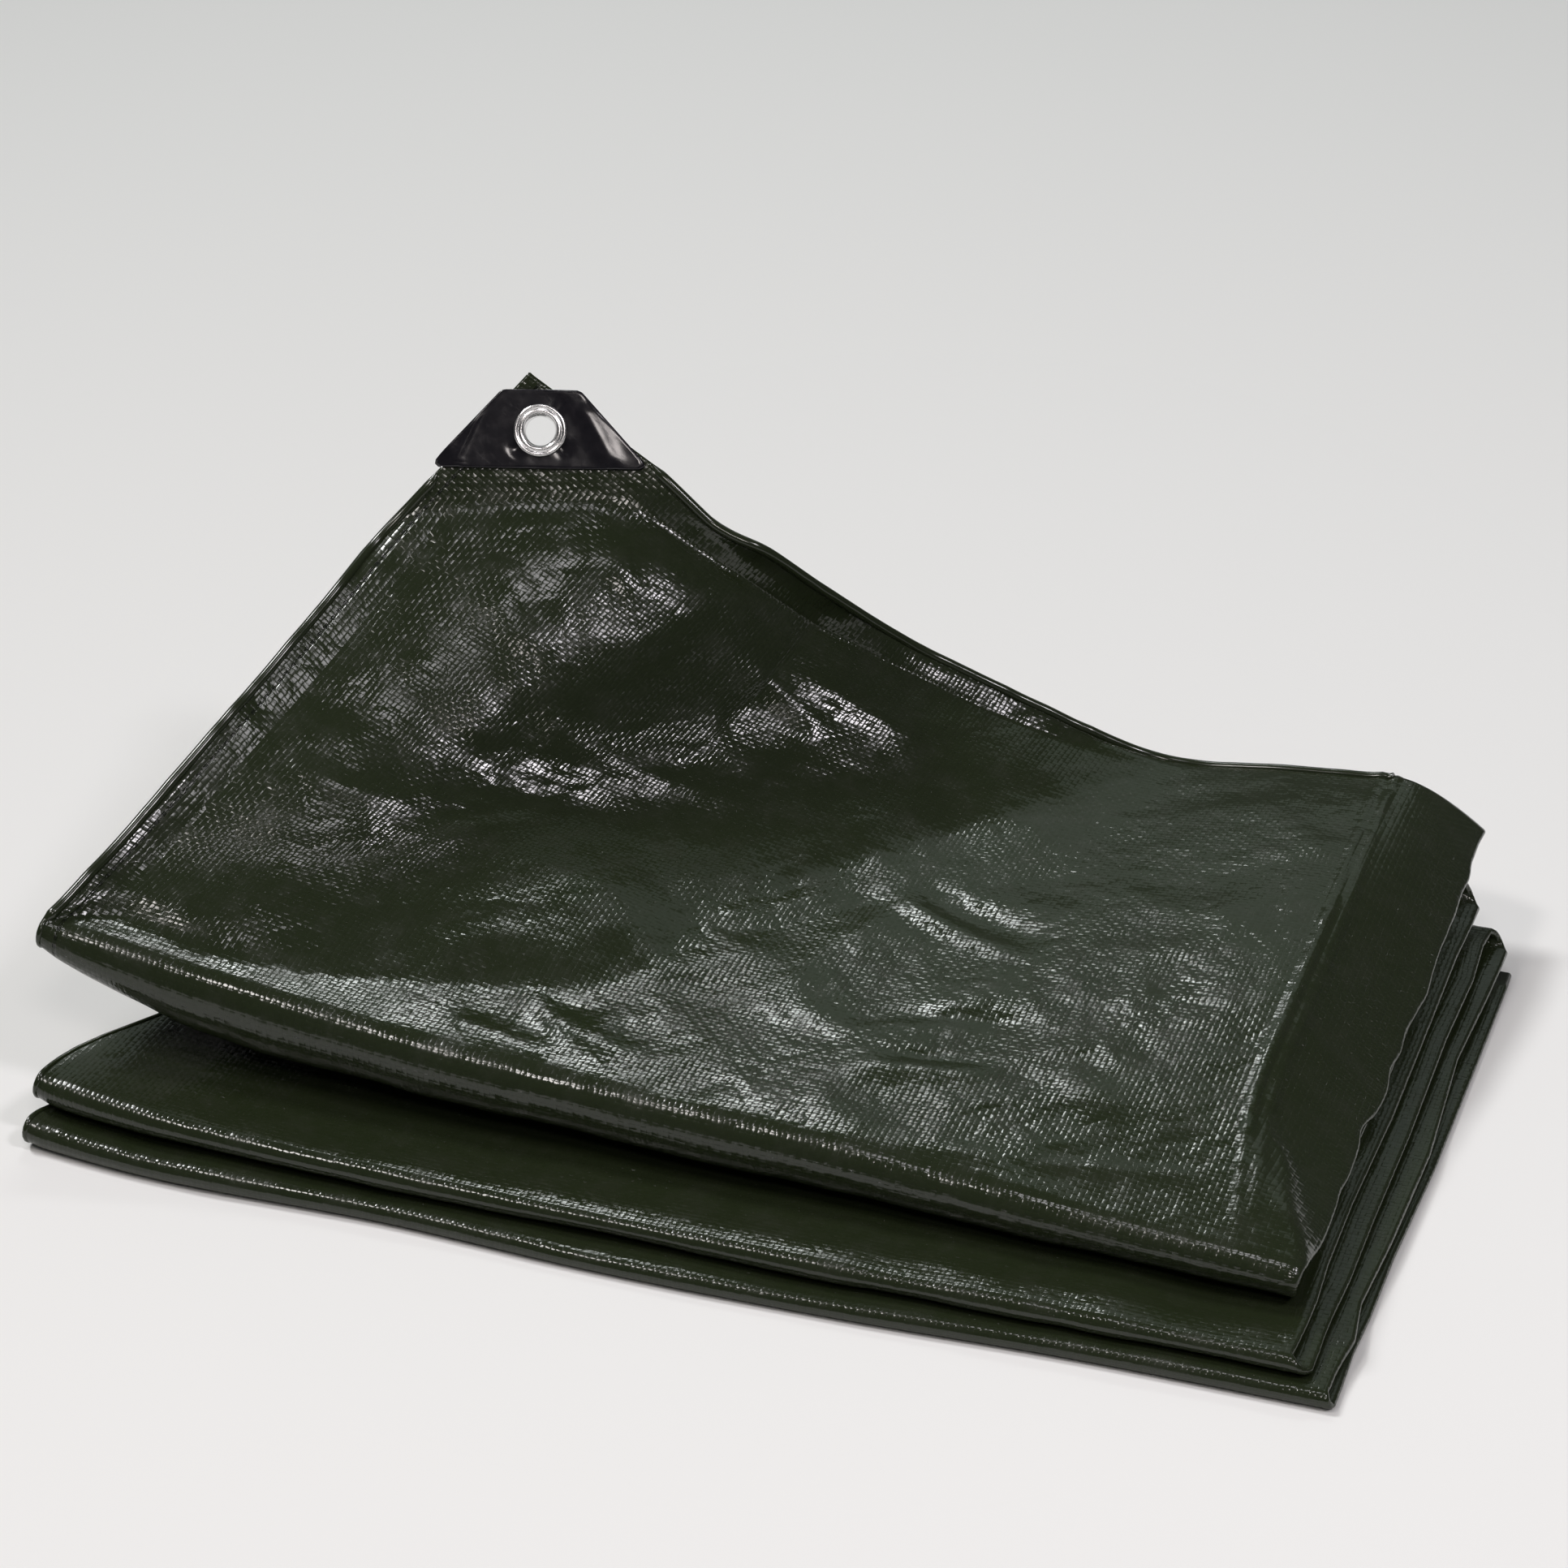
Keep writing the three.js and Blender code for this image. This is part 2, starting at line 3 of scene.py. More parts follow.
import bmesh
import bpy
import numpy as np
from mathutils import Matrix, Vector


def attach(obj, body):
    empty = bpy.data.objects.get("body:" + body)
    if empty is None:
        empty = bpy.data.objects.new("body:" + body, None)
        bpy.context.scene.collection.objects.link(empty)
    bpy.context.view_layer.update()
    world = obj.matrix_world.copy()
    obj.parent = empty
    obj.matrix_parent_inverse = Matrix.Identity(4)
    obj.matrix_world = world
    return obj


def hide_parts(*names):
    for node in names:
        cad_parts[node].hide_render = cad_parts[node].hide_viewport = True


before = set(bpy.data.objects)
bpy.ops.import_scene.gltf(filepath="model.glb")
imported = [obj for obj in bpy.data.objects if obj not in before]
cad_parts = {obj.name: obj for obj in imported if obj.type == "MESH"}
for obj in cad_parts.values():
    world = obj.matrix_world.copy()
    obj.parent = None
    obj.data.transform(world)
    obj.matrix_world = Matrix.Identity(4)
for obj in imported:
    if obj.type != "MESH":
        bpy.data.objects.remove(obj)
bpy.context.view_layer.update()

# A folded woven polyethylene tarpaulin with one eyelet corner lifted. Sizes are in millimetres
# in the packet's own frame, whose origin is the front left corner of the packet on the floor.
MM = 0.001
PACKET_ORIGIN = (-227.710166, -154.240792, 0.0)

# Sheet and folds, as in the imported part
SHEET = 1.1
PAIR = 1.7
TOP_FRONT = 26.0
TOP_LEFT = -8.0
TOP_LENGTH = 300.0
BACK_FOLD = 301.0
BACK_STEP = 3.0
BOTTOM_END = 290.0
SHOULDER = 447.0
SHOULDER_ZONE = (5.0, 45.0)
SHOULDER_INSET = 2.0
SHOULDER_BEND = (1.1, 1.7)
SHOULDER_BEND_ZONE = (200.0, 100.0)
CREASE = 410.0
CREASE_LENGTH = 75.0
EDGE_GAP = 4.4
EDGE_OPENING = 3.2
EDGE_OPENING_ZONE = (110.0, 200.0)
RISE_LENGTH = 275.0
PLIES = 6
LOWEST = (PAIR + SHEET) / 2
EAR_LENGTH = 14.0
EAR_LIFT = 5
EAR_LIFT_TO_X = 10
EAR_LIFT_OVER_X = 24
EAR_LIFT_TO_Y = 45
DRAW_IN_LENGTH = 74.0
LOWER_LAYER_IN = 6.0
LOWER_BACK_IN = 10.0
LEFT_PART_END = 150.0
FOLD_BULGE = 1.15
FOLD_BULGE_MOST = 8.0

# Front folds from left to right: reach of each book, height of the middle of each ply
FRONT = {
    "x": (-14, 0, 55, 140, 220, 300, 380, 465),
    "reach1": (22, 23, 24, 25, 26, 27, 27, 27),
    "reach2": (-2, -3, -8, -6, -4, -2, 1, 3),
    "reach3": (-9, -13, -17, -13, -14, -11, -5, -2),
    "ply1": (68.5, 66.5, 57.5, 47.0, 42.0, 37.5, 30.5, 26.4),
    "ply2": (62.0, 53.0, 33.5, 25.5, 22.0, 19.6, 17.4, 16.2),
    "ply3": (23.5, 21.5, 19.0, 15.6, 14.2, 13.4, 12.9, 12.6),
    "ply4": (19.0, 13.8, 11.8, 10.0, 9.3, 9.1, 8.9, 8.8),
    "ply5": (10.5, 8.8, 7.4, 6.0, 5.4, 5.3, 5.2, 5.2),
}

# Distances from ply to ply at the back
BACK = {
    "x": (0, 150, 300, 400, 465),
    "gap1": (15, 12, 10.5, 16, 14),
    "gap2": (11, 11.5, 10, 11, 11),
    "gap3": (10, 9.5, 9.5, 10.5, 10),
    "gap4": (9, 10.5, 9, 9.5, 10),
    "gap5": (8.5, 9, 8.5, 9, 9),
}

# Ends of the plies, the top one first
ENDS = {
    "right": (445.1, 442.5, 448.5, 455.0, 461.5, 464.0),
    "ear": (TOP_LEFT, -9, 2, 1, 2, 2),
    "left": (4, 2, 3, 4, 5, 6),
    "draw_in": (8, 14, 27, 24, 20, 15),
}

# The stiff corner with the patch
CORNER = np.array((86.2, 255.0, 211.6))
STIFF_TO = 66.0
BEND_AT = 84.0
BLEND_TO = 120.0
BEND_ROUND = 25.0
CORNER_TRIM = 7.0
CORNER_TRIM_TO = 62.0
EDGE_TURN = math.radians(3.0)


def smooth(t):
    s = np.clip(t, 0.0, 1.0)
    return s * s * (3.0 - 2.0 * s)


def ramp(value, start, over):
    """Smooth step from 0 where a zone starts to 1 once its length is passed."""
    return smooth((value - start) / over)


def mix(a, b, t):
    return a + (b - a) * t


NOISE_CELLS = 64
NOISE_SHIFT = 500


def lattice_noise(u, w, size, seed):
    """Smooth random heights from -1 to 1 over a plane, on a lattice of the given size."""
    table = np.random.default_rng(seed).uniform(-1, 1, (NOISE_CELLS, NOISE_CELLS))
    a = u / size
    b = w / size
    i = np.floor(a).astype(int)
    j = np.floor(b).astype(int)
    s = smooth(a - i)

    def corner(right, up):
        return table[(i + right) % NOISE_CELLS, (j + up) % NOISE_CELLS]

    lower = mix(corner(0, 0), corner(1, 0), s)
    upper = mix(corner(0, 1), corner(1, 1), s)
    return mix(lower, upper, smooth(b - j))


def turned_noise(u, w, size, seed, degrees):
    """The same noise on a lattice that is turned to the sheet's edges."""
    turn = math.radians(degrees)
    return lattice_noise(u * math.cos(turn) + w * math.sin(turn) + NOISE_SHIFT,
                         w * math.cos(turn) - u * math.sin(turn) + NOISE_SHIFT, size, seed)


def unit(vector):
    vector = np.asarray(vector, float)
    return vector / np.linalg.norm(vector, axis=-1, keepdims=True)


def turned_about(vector, axis, angle):
    return (vector * math.cos(angle) + np.cross(axis, vector) * math.sin(angle)
            + axis * (axis @ vector) * (1 - math.cos(angle)))


PATCH_RIGHT = unit((0.765, -0.055, -0.642))
PATCH_LEFT = np.array((-0.527, -0.549, -0.647))
PATCH_LEFT = unit(PATCH_LEFT - PATCH_RIGHT * (PATCH_LEFT @ PATCH_RIGHT))
CORNER_NORMAL = np.cross(PATCH_LEFT, PATCH_RIGHT)
ALONG_BACK = turned_about(PATCH_RIGHT, CORNER_NORMAL, EDGE_TURN)
DOWN_LEFT = turned_about(PATCH_LEFT, CORNER_NORMAL, EDGE_TURN)


def in_corner(u, w):
    return CORNER + np.multiply.outer(u, ALONG_BACK) + np.multiply.outer(w, DOWN_LEFT)


# Back edge of the top sheet beyond its stiff corner, by distance along it
BEND_END = in_corner(BEND_AT, 0.0)
BACK_EDGE = {
    "u": (BEND_AT, 112, 150, 200, 250, 300, 350),
    "x": (BEND_END[0], 174.5, 194, 222, 259, 299, 342),
    "y": (BEND_END[1], 257, 274, 295, 308, 318, 326),
    "z": (BEND_END[2], 149, 127, 100, 79, 61, 52.5),
}
FAN_END = 350.0
FAN_BLEND = 60.0


def through(table, name, at, key="x"):
    """Smooth curve through one column of a table, level past its ends."""
    places = np.array(table[key], float)
    values = np.array(table[name], float)
    last = len(places) - 1
    order = np.arange(last + 1)
    before = np.maximum(order - 1, 0)
    after = np.minimum(order + 1, last)
    slopes = (values[after] - values[before]) / (places[after] - places[before])
    i = np.clip(np.searchsorted(places, at, side="left") - 1, 0, last - 1)
    h = places[i + 1] - places[i]
    t = np.clip((at - places[i]) / h, 0.0, 1.0)
    t2 = t * t
    t3 = t2 * t
    return ((2 * t3 - 3 * t2 + 1) * values[i] + (t3 - 2 * t2 + t) * h * slopes[i]
            + (3 * t2 - 2 * t3) * values[i + 1] + (t3 - t2) * h * slopes[i + 1])


def front_gap(ply, x):
    lower = through(FRONT, f"ply{ply + 1}", x) if ply + 1 < PLIES else LOWEST
    return through(FRONT, f"ply{ply}", x) - lower


def ply_height(ply, x, y):
    """Height of the middle of a ply, numbered from the top, over a place on the floor."""
    rise = 1 - (1 - np.clip((y - TOP_FRONT) / RISE_LENGTH, 0, 1)) ** 2
    crease = mix(SHOULDER - SHOULDER_INSET, CREASE, smooth((y - TOP_FRONT) / CREASE_LENGTH))
    in_from_edge = np.clip((SHOULDER - x) / (SHOULDER - crease), 0, 1)
    bend = mix(*SHOULDER_BEND, ramp(y, *SHOULDER_BEND_ZONE))
    shoulder = 1 - (1 - in_from_edge) ** bend
    opened = mix(1, shoulder, ramp(y, *SHOULDER_ZONE))
    edge = EDGE_GAP + EDGE_OPENING * ramp(y, *EDGE_OPENING_ZONE)
    z = LOWEST
    for j in range(PLIES - 1, ply - 1, -1):
        puffed = mix(front_gap(j, x), through(BACK, f"gap{j}", x), rise)
        z = z + mix(edge, puffed, opened)
    ear = smooth((EAR_LIFT_TO_X - x) / EAR_LIFT_OVER_X)
    return z + EAR_LIFT * ear * smooth((EAR_LIFT_TO_Y - y) / EAR_LIFT_TO_Y)


def lying_top(u, v):
    x = TOP_LEFT + u
    y = TOP_FRONT + v
    return np.stack([x, y, ply_height(1, x, y) + PAIR / 2], -1)


def near_back_edge(u, w):
    past = np.stack([through(BACK_EDGE, name, u, "u") for name in "xyz"], -1)
    past = past + np.multiply.outer(w, DOWN_LEFT)
    return np.where((u < BEND_AT)[..., None], in_corner(u, w), past)


RIM_STEPS = 12
FAR_AWAY = 1e6
NEAR_HINGE = 0.01


def rim_on(on_edge):
    """Place on the rounded rim of the stiff corner for a place along the back edge."""
    u = on_edge
    for step in range(RIM_STEPS):
        w = ((BEND_AT - u) + np.hypot(BEND_AT - u, BEND_ROUND)) / 2
        u = on_edge * (1 - w / TOP_LENGTH)
    return u, w


def lifted_top(u, v, lying):
    """The top sheet with its corner lifted, from where each of its points would lie."""
    on_edge = np.where(v > NEAR_HINGE, u * TOP_LENGTH / np.maximum(v, NEAR_HINGE), FAR_AWAY)
    lifts = on_edge < FAN_END
    rim_u, rim_w = rim_on(np.where(lifts, on_edge, FAN_END))
    rim_v = TOP_LENGTH - rim_w
    lift = near_back_edge(rim_u, rim_w) - lying_top(rim_u, rim_v)
    share = smooth((FAN_END - on_edge) / FAN_BLEND) * (v / rim_v)
    point = lying + lift * np.where(lifts, share, 0.0)[..., None]
    w = TOP_LENGTH - v
    stiff = 1 - smooth((u + w - STIFF_TO) / (BLEND_TO - STIFF_TO))
    return mix(point, in_corner(u, w), stiff[..., None])


# Stations along the sheet, from the back edge of the top ply down to the end of the lowest
HEM_ROWS = 12
HEM_WIDTH = 14.0
TOP_ROWS = 98
FRONT_ALLOWANCE = 4.0
PLY_SHARES = (0, 0.012, 0.03, 0.06, 0.1, 0.17, 0.3, 0.5, 0.72, 0.87, 0.96, 1)
FRONT_TURNS = 11
BACK_TURNS = 6


def path_stations():
    """Rows of (ply, share of its run) and, in the folds, (ply, None, degrees turned)."""
    run = TOP_LENGTH - FRONT_ALLOWANCE
    hem = [1 - HEM_WIDTH * i / HEM_ROWS / run for i in range(HEM_ROWS)]
    start = 1 - HEM_WIDTH / run
    top = hem + [start * (1 - i / (TOP_ROWS - 1)) for i in range(TOP_ROWS)]
    rows = []
    for ply in range(1, PLIES + 1):
        shares = list(top) if ply == 1 else list(PLY_SHARES)
        if ply > 1 and ply % 2 == 1:
            shares.reverse()
        rows += [(ply, share, None) for share in shares]
        if ply < PLIES:
            steps = FRONT_TURNS if ply % 2 == 1 else BACK_TURNS
            rows += [(ply, None, 180.0 * (i + 1) / (steps + 1)) for i in range(steps)]
    return rows


# Stations across it: (zone, share, side, out) from the left hem over the hairpin at the right
HEM_COLUMNS = 13
FLAP_COLUMNS = 56
PANEL_COLUMNS = 66
CREASE_COLUMNS = 10
CREASE_FROM = 0.955
BAND_COLUMNS = 20
BAND_DENSITY = 1.5
UNDER_COLUMNS = (14, 18, 9)
HAIRPIN_STEPS = 5


def cross_stations():
    hem_end = HEM_WIDTH / (LEFT_PART_END - TOP_LEFT)
    left = [hem_end * i / HEM_COLUMNS for i in range(HEM_COLUMNS)]
    left += [mix(hem_end, 1.0, i / FLAP_COLUMNS) for i in range(FLAP_COLUMNS)]
    upper = [(0, share) for share in left]
    upper += [(1, CREASE_FROM * i / PANEL_COLUMNS) for i in range(PANEL_COLUMNS)]
    upper += [(1, mix(CREASE_FROM, 1.0, i / CREASE_COLUMNS)) for i in range(CREASE_COLUMNS)]
    upper += [(2, (i / BAND_COLUMNS) ** BAND_DENSITY) for i in range(BAND_COLUMNS + 1)]
    lower = [(zone, i / count) for zone, count in enumerate(UNDER_COLUMNS) for i in range(count)]
    lower += [(2, 1.0)]
    places = [(zone, share, 1.0, 0.0) for zone, share in upper]
    for i in range(HAIRPIN_STEPS):
        turn = math.pi * (i + 1) / (HAIRPIN_STEPS + 1)
        places.append((2, 1.0, math.cos(turn), math.sin(turn) * PAIR / 2))
    places += [(zone, share, -1.0, 0.0) for zone, share in reversed(lower)]
    return places


def left_end(ply, side, behind):
    inner = (1 - side) * LOWER_LAYER_IN / 2
    past = smooth((behind - EAR_LENGTH / 2) / DRAW_IN_LENGTH)
    ear = ENDS["ear"][ply - 1]
    end = mix(ear, ENDS["left"][ply - 1], smooth(behind / EAR_LENGTH))
    end = end + ENDS["draw_in"][ply - 1] * past + inner
    return np.where(side > 0, TOP_LEFT, end) if ply == 1 else end


def bulge(half, front):
    return np.minimum(half * FOLD_BULGE, FOLD_BULGE_MOST) if front else half


def run_of(ply, x):
    """Start and end over the floor of the straight run of a ply, at a place across."""
    book = (ply + 1) // 2
    reach = through(FRONT, f"reach{book}", x)
    fold = (ply_height(2 * book - 1, x, reach) - ply_height(2 * book, x, reach)) / 2
    front = reach + PAIR / 2 + bulge(fold, True)
    if ply == 1:
        return front, np.full_like(front, TOP_FRONT + TOP_LENGTH)
    if ply == PLIES:
        return front, np.full_like(front, BOTTOM_END)
    upper = ply if ply % 2 == 0 else ply - 1
    half = (ply_height(upper, x, BACK_FOLD) - ply_height(upper + 1, x, BACK_FOLD)) / 2
    return front, BACK_FOLD - BACK_STEP * (upper / 2 - 1) - PAIR / 2 - half


def middle(row, x):
    """Middle of the doubled sheet at a row of the path, over places across."""
    ply, share, degrees = row
    front, back = run_of(ply, x)
    if degrees is None:
        y = mix(front, back, share)
        return np.stack([x, y, ply_height(ply, x, y)], -1)
    in_front = ply % 2 == 1
    turn = math.radians(degrees)
    y0 = front if in_front else back
    upper = ply_height(ply, x, y0)
    lower = ply_height(ply + 1, x, y0)
    half = (upper - lower) / 2
    y = y0 + (-1 if in_front else 1) * bulge(half, in_front) * math.sin(turn)
    return np.stack([x, y, (upper + lower) / 2 + half * math.cos(turn)], -1)


# Unevenness of the plies' right ends: size, shift from ply to ply, seed and share of each wave
RIGHT_WAVES = 1.8
RIGHT_WAVE_SIZES = ((31.0, 37.0, 70, 1.0), (13.0, 11.0, 71, 0.5))
RIGHT_WAVES_FADE = 30
PLY_LANE = 50.0


def right_end(ply, behind):
    """End of a ply at the right, a little uneven along its depth."""
    waves = 0.0
    for size, shift, seed, share in RIGHT_WAVE_SIZES:
        at = np.array(behind + shift * ply)
        waves = waves + share * lattice_noise(at, np.array(PLY_LANE * ply), size, seed)
    return ENDS["right"][ply - 1] + RIGHT_WAVES * float(waves) * float(smooth(behind / RIGHT_WAVES_FADE))


def place_across(row, zones, shares, sides):
    ply, share, degrees = row
    if degrees is None:
        left = left_end(ply, sides, share * TOP_LENGTH)
        right = right_end(ply, share * TOP_LENGTH)
    else:
        behind = 0.0 if ply % 2 == 1 else TOP_LENGTH
        down = degrees / 180
        left = mix(left_end(ply, sides, behind), left_end(ply + 1, sides, behind), down)
        right = mix(right_end(ply, behind), right_end(ply + 1, behind), down)
    stops = np.stack([left, np.full_like(left, LEFT_PART_END), np.full_like(left, CREASE),
                      np.full_like(left, right)])
    each = np.arange(len(left))
    return mix(stops[zones, each], stops[zones + 1, each], shares)


def grid_normals(grid):
    along = np.gradient(grid, axis=0)
    across = np.gradient(grid, axis=1)
    return unit(np.cross(along, across))


# Creases of the top by distance from its left hem and from its back edge: a soft ridge,
# or a trough where the height is negative, bowed to one side, fading out at both ends.
# Start, end, bow, width, height
CREASES = [
    # The lifted corner
    ((26, 190), (84, 176), 4, 6.0, 1.3),
    ((68, 174), (106, 163), 2, 4.0, 0.7),
    ((94, 143), (134, 127), 3, 4.0, 0.8),
    ((86, 117), (202, 112), 5, 7.0, 1.5),
    ((134, 49), (202, 69), -3, 6.0, 1.4),
    ((170, 43), (234, 54), -3, 6.0, 1.2),
    ((46, 77), (74, 93), 3, 6.0, 0.8),
    ((15, 54), (27, 92), 2, 5.0, 0.6),
    ((68, 37), (90, 51), 1, 4.0, 0.7),
    ((42, 68), (74, 43), 8, 4.0, -0.6),
    ((47, 14), (40, 50), 0, 1.8, -0.3),
    ((30, 118), (84, 148), -6, 12.0, 1.1),
    ((20, 225), (90, 232), 5, 14.0, -0.8),
    # The lying part
    ((256, 137), (326, 167), 4, 5.0, 1.3),
    ((262, 126), (334, 155), 4, 9.0, -1.0),
    ((268, 226), (342, 205), -3, 4.0, -0.9),
    ((288, 243), (338, 232), 0, 3.0, -0.9),
    ((310, 288), (346, 280), 0, 3.0, 0.7),
    ((342, 281), (421, 263), 2, 3.0, 0.8),
    ((390, 270), (398, 298), 0, 1.8, 0.6),
    ((423, 230), (446, 284), -4, 3.0, 1.3),
    ((144, 276), (198, 289), 3, 6.0, 1.2),
    ((158, 249), (224, 277), 6, 6.0, 1.2),
    ((188, 229), (238, 185), 6, 9.0, 1.1),
    ((198, 191), (248, 141), 4, 7.0, 1.0),
    ((282, 251), (338, 235), 3, 6.0, 0.9),
    ((370, 24), (414, 76), 4, 8.0, 1.0),
    ((352, 222), (384, 248), 4, 7.0, 0.9),
]
CREASE_FADE = 0.28

# The sharp crease at the right of the top, by its distance from the back edge
RIGHT_CREASE = {
    "w": (20, 60, 105, 159, 218, 276, 300),
    "u": (415, 417, 419, 420, 421, 430, 438),
}
RIGHT_CREASE_STEP = 2.6
RIGHT_CREASE_WIDTH = 1.7
RIGHT_CREASE_HEIGHT = 1.0
BEADING_LEAST = 0.45
BEADING_SWING = 0.9
BEADING_SIZE = 5.5
BEADING_SEED = 31
BEADING_SHIFT = 300
BEADING_LANE = 40.0


def crease_height(u, w, start, end, bow, width, height):
    start = np.array(start, float)
    run = np.array(end, float) - start
    length = math.hypot(*run)
    along = ((u - start[0]) * run[0] + (w - start[1]) * run[1]) / length ** 2
    aside = ((w - start[1]) * run[0] - (u - start[0]) * run[1]) / length
    aside = aside - bow * (1 - (2 * along - 1) ** 2)
    ends = smooth(along / CREASE_FADE) * smooth((1 - along) / CREASE_FADE)
    return height * ends * np.exp(-(aside / width) ** 2)


# Crumple: size, share and turn in degrees of each of its three folds
CRUMPLE_SIZES = ((46, 1.0, 20), (24, 0.5, -34), (12, 0.22, 62))
CRUMPLE_SEED = 11
CRUMPLE_RIDGE = 0.9
CRUMPLE_DEPTH = 2.2
FLAP_CRUMPLE = 0.6
FLAT_CRUMPLE = 0.65
BAND_CRUMPLE = 0.18
FLAP_TO = 300
FLAP_BLEND = 80
BAND_ZONE = (405, 15)
PATCH_CLEAR_ZONE = (62, 30)


def crumple(u, w):
    """Facets of stiff film: broken folds at three sizes, as heights of about -1 to 1."""
    total = 0.0
    for number, (size, share, degrees) in enumerate(CRUMPLE_SIZES):
        fold = turned_noise(u, w, size, CRUMPLE_SEED + number, degrees)
        total = total + share * (CRUMPLE_RIDGE - CRUMPLE_DEPTH * np.abs(fold))
    return total


def right_crease_ridges(u, w):
    """Heights of the two beaded ridges along the sharp crease at the right."""
    ridges = []
    line = through(RIGHT_CREASE, "u", w, "w")
    for step in (-RIGHT_CREASE_STEP, RIGHT_CREASE_STEP):
        lane = np.full_like(w, BEADING_LANE + step)
        beads = np.abs(lattice_noise(w + BEADING_SHIFT, lane, BEADING_SIZE, BEADING_SEED))
        beads = BEADING_LEAST + BEADING_SWING * beads
        ridge = np.exp(-((u - line - step) / RIGHT_CREASE_WIDTH) ** 2)
        ridges.append(RIGHT_CREASE_HEIGHT * beads * ridge)
    return ridges


def top_relief(u, w):
    """Height of creases and crumple over the top sheet."""
    height = sum(crease_height(u, w, *crease) for crease in CREASES)
    for ridge in right_crease_ridges(u, w):
        height = height + ridge
    amount = mix(FLAT_CRUMPLE, FLAP_CRUMPLE, smooth((FLAP_TO - u - w) / FLAP_BLEND))
    amount = mix(amount, BAND_CRUMPLE, ramp(u, *BAND_ZONE))
    clear_of_patch = ramp(u + w, *PATCH_CLEAR_ZONE)
    return (height + amount * crumple(u, w)) * clear_of_patch


RELAX_STEPS = 240
RELAX_SHARE = 0.24
RELAX_EDGE = 26.0
RELAX_LEFT = 6
RELAX_BACK = 8
RELAX_FRONT = 6
RELAX_RIGHT = 400
RELAX_HOLD = 8


def relaxed(lift, u, w):
    """The lift of the top sheet with the kinks of its straight lines smoothed out."""
    v = TOP_LENGTH - w
    loose = smooth((u + w - STIFF_TO) / RELAX_EDGE) * smooth(u / RELAX_LEFT) * smooth(w / RELAX_BACK)
    loose = loose * smooth((v - RELAX_FRONT) / RELAX_EDGE) * smooth((RELAX_RIGHT - u) / RELAX_EDGE)
    eased = lift.copy()
    for step in range(RELAX_STEPS):
        around = eased.copy()
        rows = eased[2:, 1:-1] + eased[:-2, 1:-1]
        around[1:-1, 1:-1] = (rows + eased[1:-1, 2:] + eased[1:-1, :-2]) / 4
        eased = mix(eased, around, 4 * RELAX_SHARE * (loose > 0)[..., None])
        eased = mix(lift, eased, np.minimum(1, loose * RELAX_HOLD)[..., None])
    return mix(lift, eased, loose[..., None])


# Line where the lifted corner starts to rise, by distance from the back edge
RISE_LINE = {
    "w": (0, 51, 114, 174, 235, 265, 284, 300),
    "u": (332, 296, 246, 211, 188, 126, 60, 0),
}
RISE_SLOPE = 0.2
RISE_REACH = 28.0
RISE_ROUND = 5.0
FRONT_RISE = 12.0
FRONT_RISE_REACH = 60.0
FRONT_RISE_ZONE = (140, 60)
RISE_FADE_LEFT = 75
RISE_FADE_BACK = 50
RISE_POINTS = 160


def rise_height(u, w):
    """A gentle bend along the rise line: the sheet turns up there and eases back further on."""
    line_w = np.linspace(RISE_LINE["w"][0], RISE_LINE["w"][-1], RISE_POINTS)
    line_u = through(RISE_LINE, "u", line_w, "w")
    away = np.full(u.shape, FAR_AWAY)
    for at_u, at_w in zip(line_u, line_w):
        away = np.minimum(away, np.hypot(u - at_u, w - at_w))
    past = np.where(u < through(RISE_LINE, "u", w, "w"), away, -away)
    past = (past + np.hypot(past, RISE_ROUND)) / 2
    inside = smooth(u / RISE_FADE_LEFT) * smooth(w / RISE_FADE_BACK)
    rise = RISE_SLOPE * RISE_REACH * (1 - np.exp(-past / RISE_REACH))
    front = FRONT_RISE * (1 - np.exp(-past / FRONT_RISE_REACH))
    front = front * ramp(w, *FRONT_RISE_ZONE)
    return (rise + front) * inside


# Small waves across plies and folds: size and share of each
FOLD_WAVES = 0.8
FOLD_WAVE_SIZES = ((34.0, 1.0), (15.0, 0.45), (7.0, 0.1))
FOLD_WAVE_SEED = 40
FOLD_WAVE_SHIFT = 600
FOLD_WAVE_ALONG = 0.7
FOLD_WAVE_BLEND = 30
EDGE_WAVES = 0.15
EDGE_WAVES_INSET = 4
EDGE_WAVES_BLEND = 20
FLOOR_CLEAR = 9.0
FLAT_SIDE = 0.99
PATH_COLUMN = 60

# Where the trim, the relief of the top and the set-back of its lower layer begin and end
TRIM_ZONE = (0.75, 0.25)
RELIEF_FRONT = 25
RELIEF_RIGHT = 18
RELIEF_PAST = 6
RISE_CLEAR = 60
LOWER_BACK_ZONE = (0.9, 0.1)


def sheet_distances(mid, places, sides):
    """Distances across and along the sheet of each point of the folded grid."""
    steps = np.linalg.norm(np.diff(mid[:, PATH_COLUMN], axis=0), axis=-1)
    path = np.concatenate([[0.0], np.cumsum(steps)])
    along_sheet = np.repeat(path[:, None], len(sides), axis=1)
    across_sheet = places - TOP_LEFT
    end = across_sheet.max(axis=1, keepdims=True)
    round_turn = np.arccos(np.clip(sides, -1, 1)) * PAIR / 2
    back_again = 2 * end - across_sheet + round_turn.max()
    across_sheet = np.where(sides > -FLAT_SIDE, across_sheet + round_turn, back_again)
    return across_sheet, along_sheet


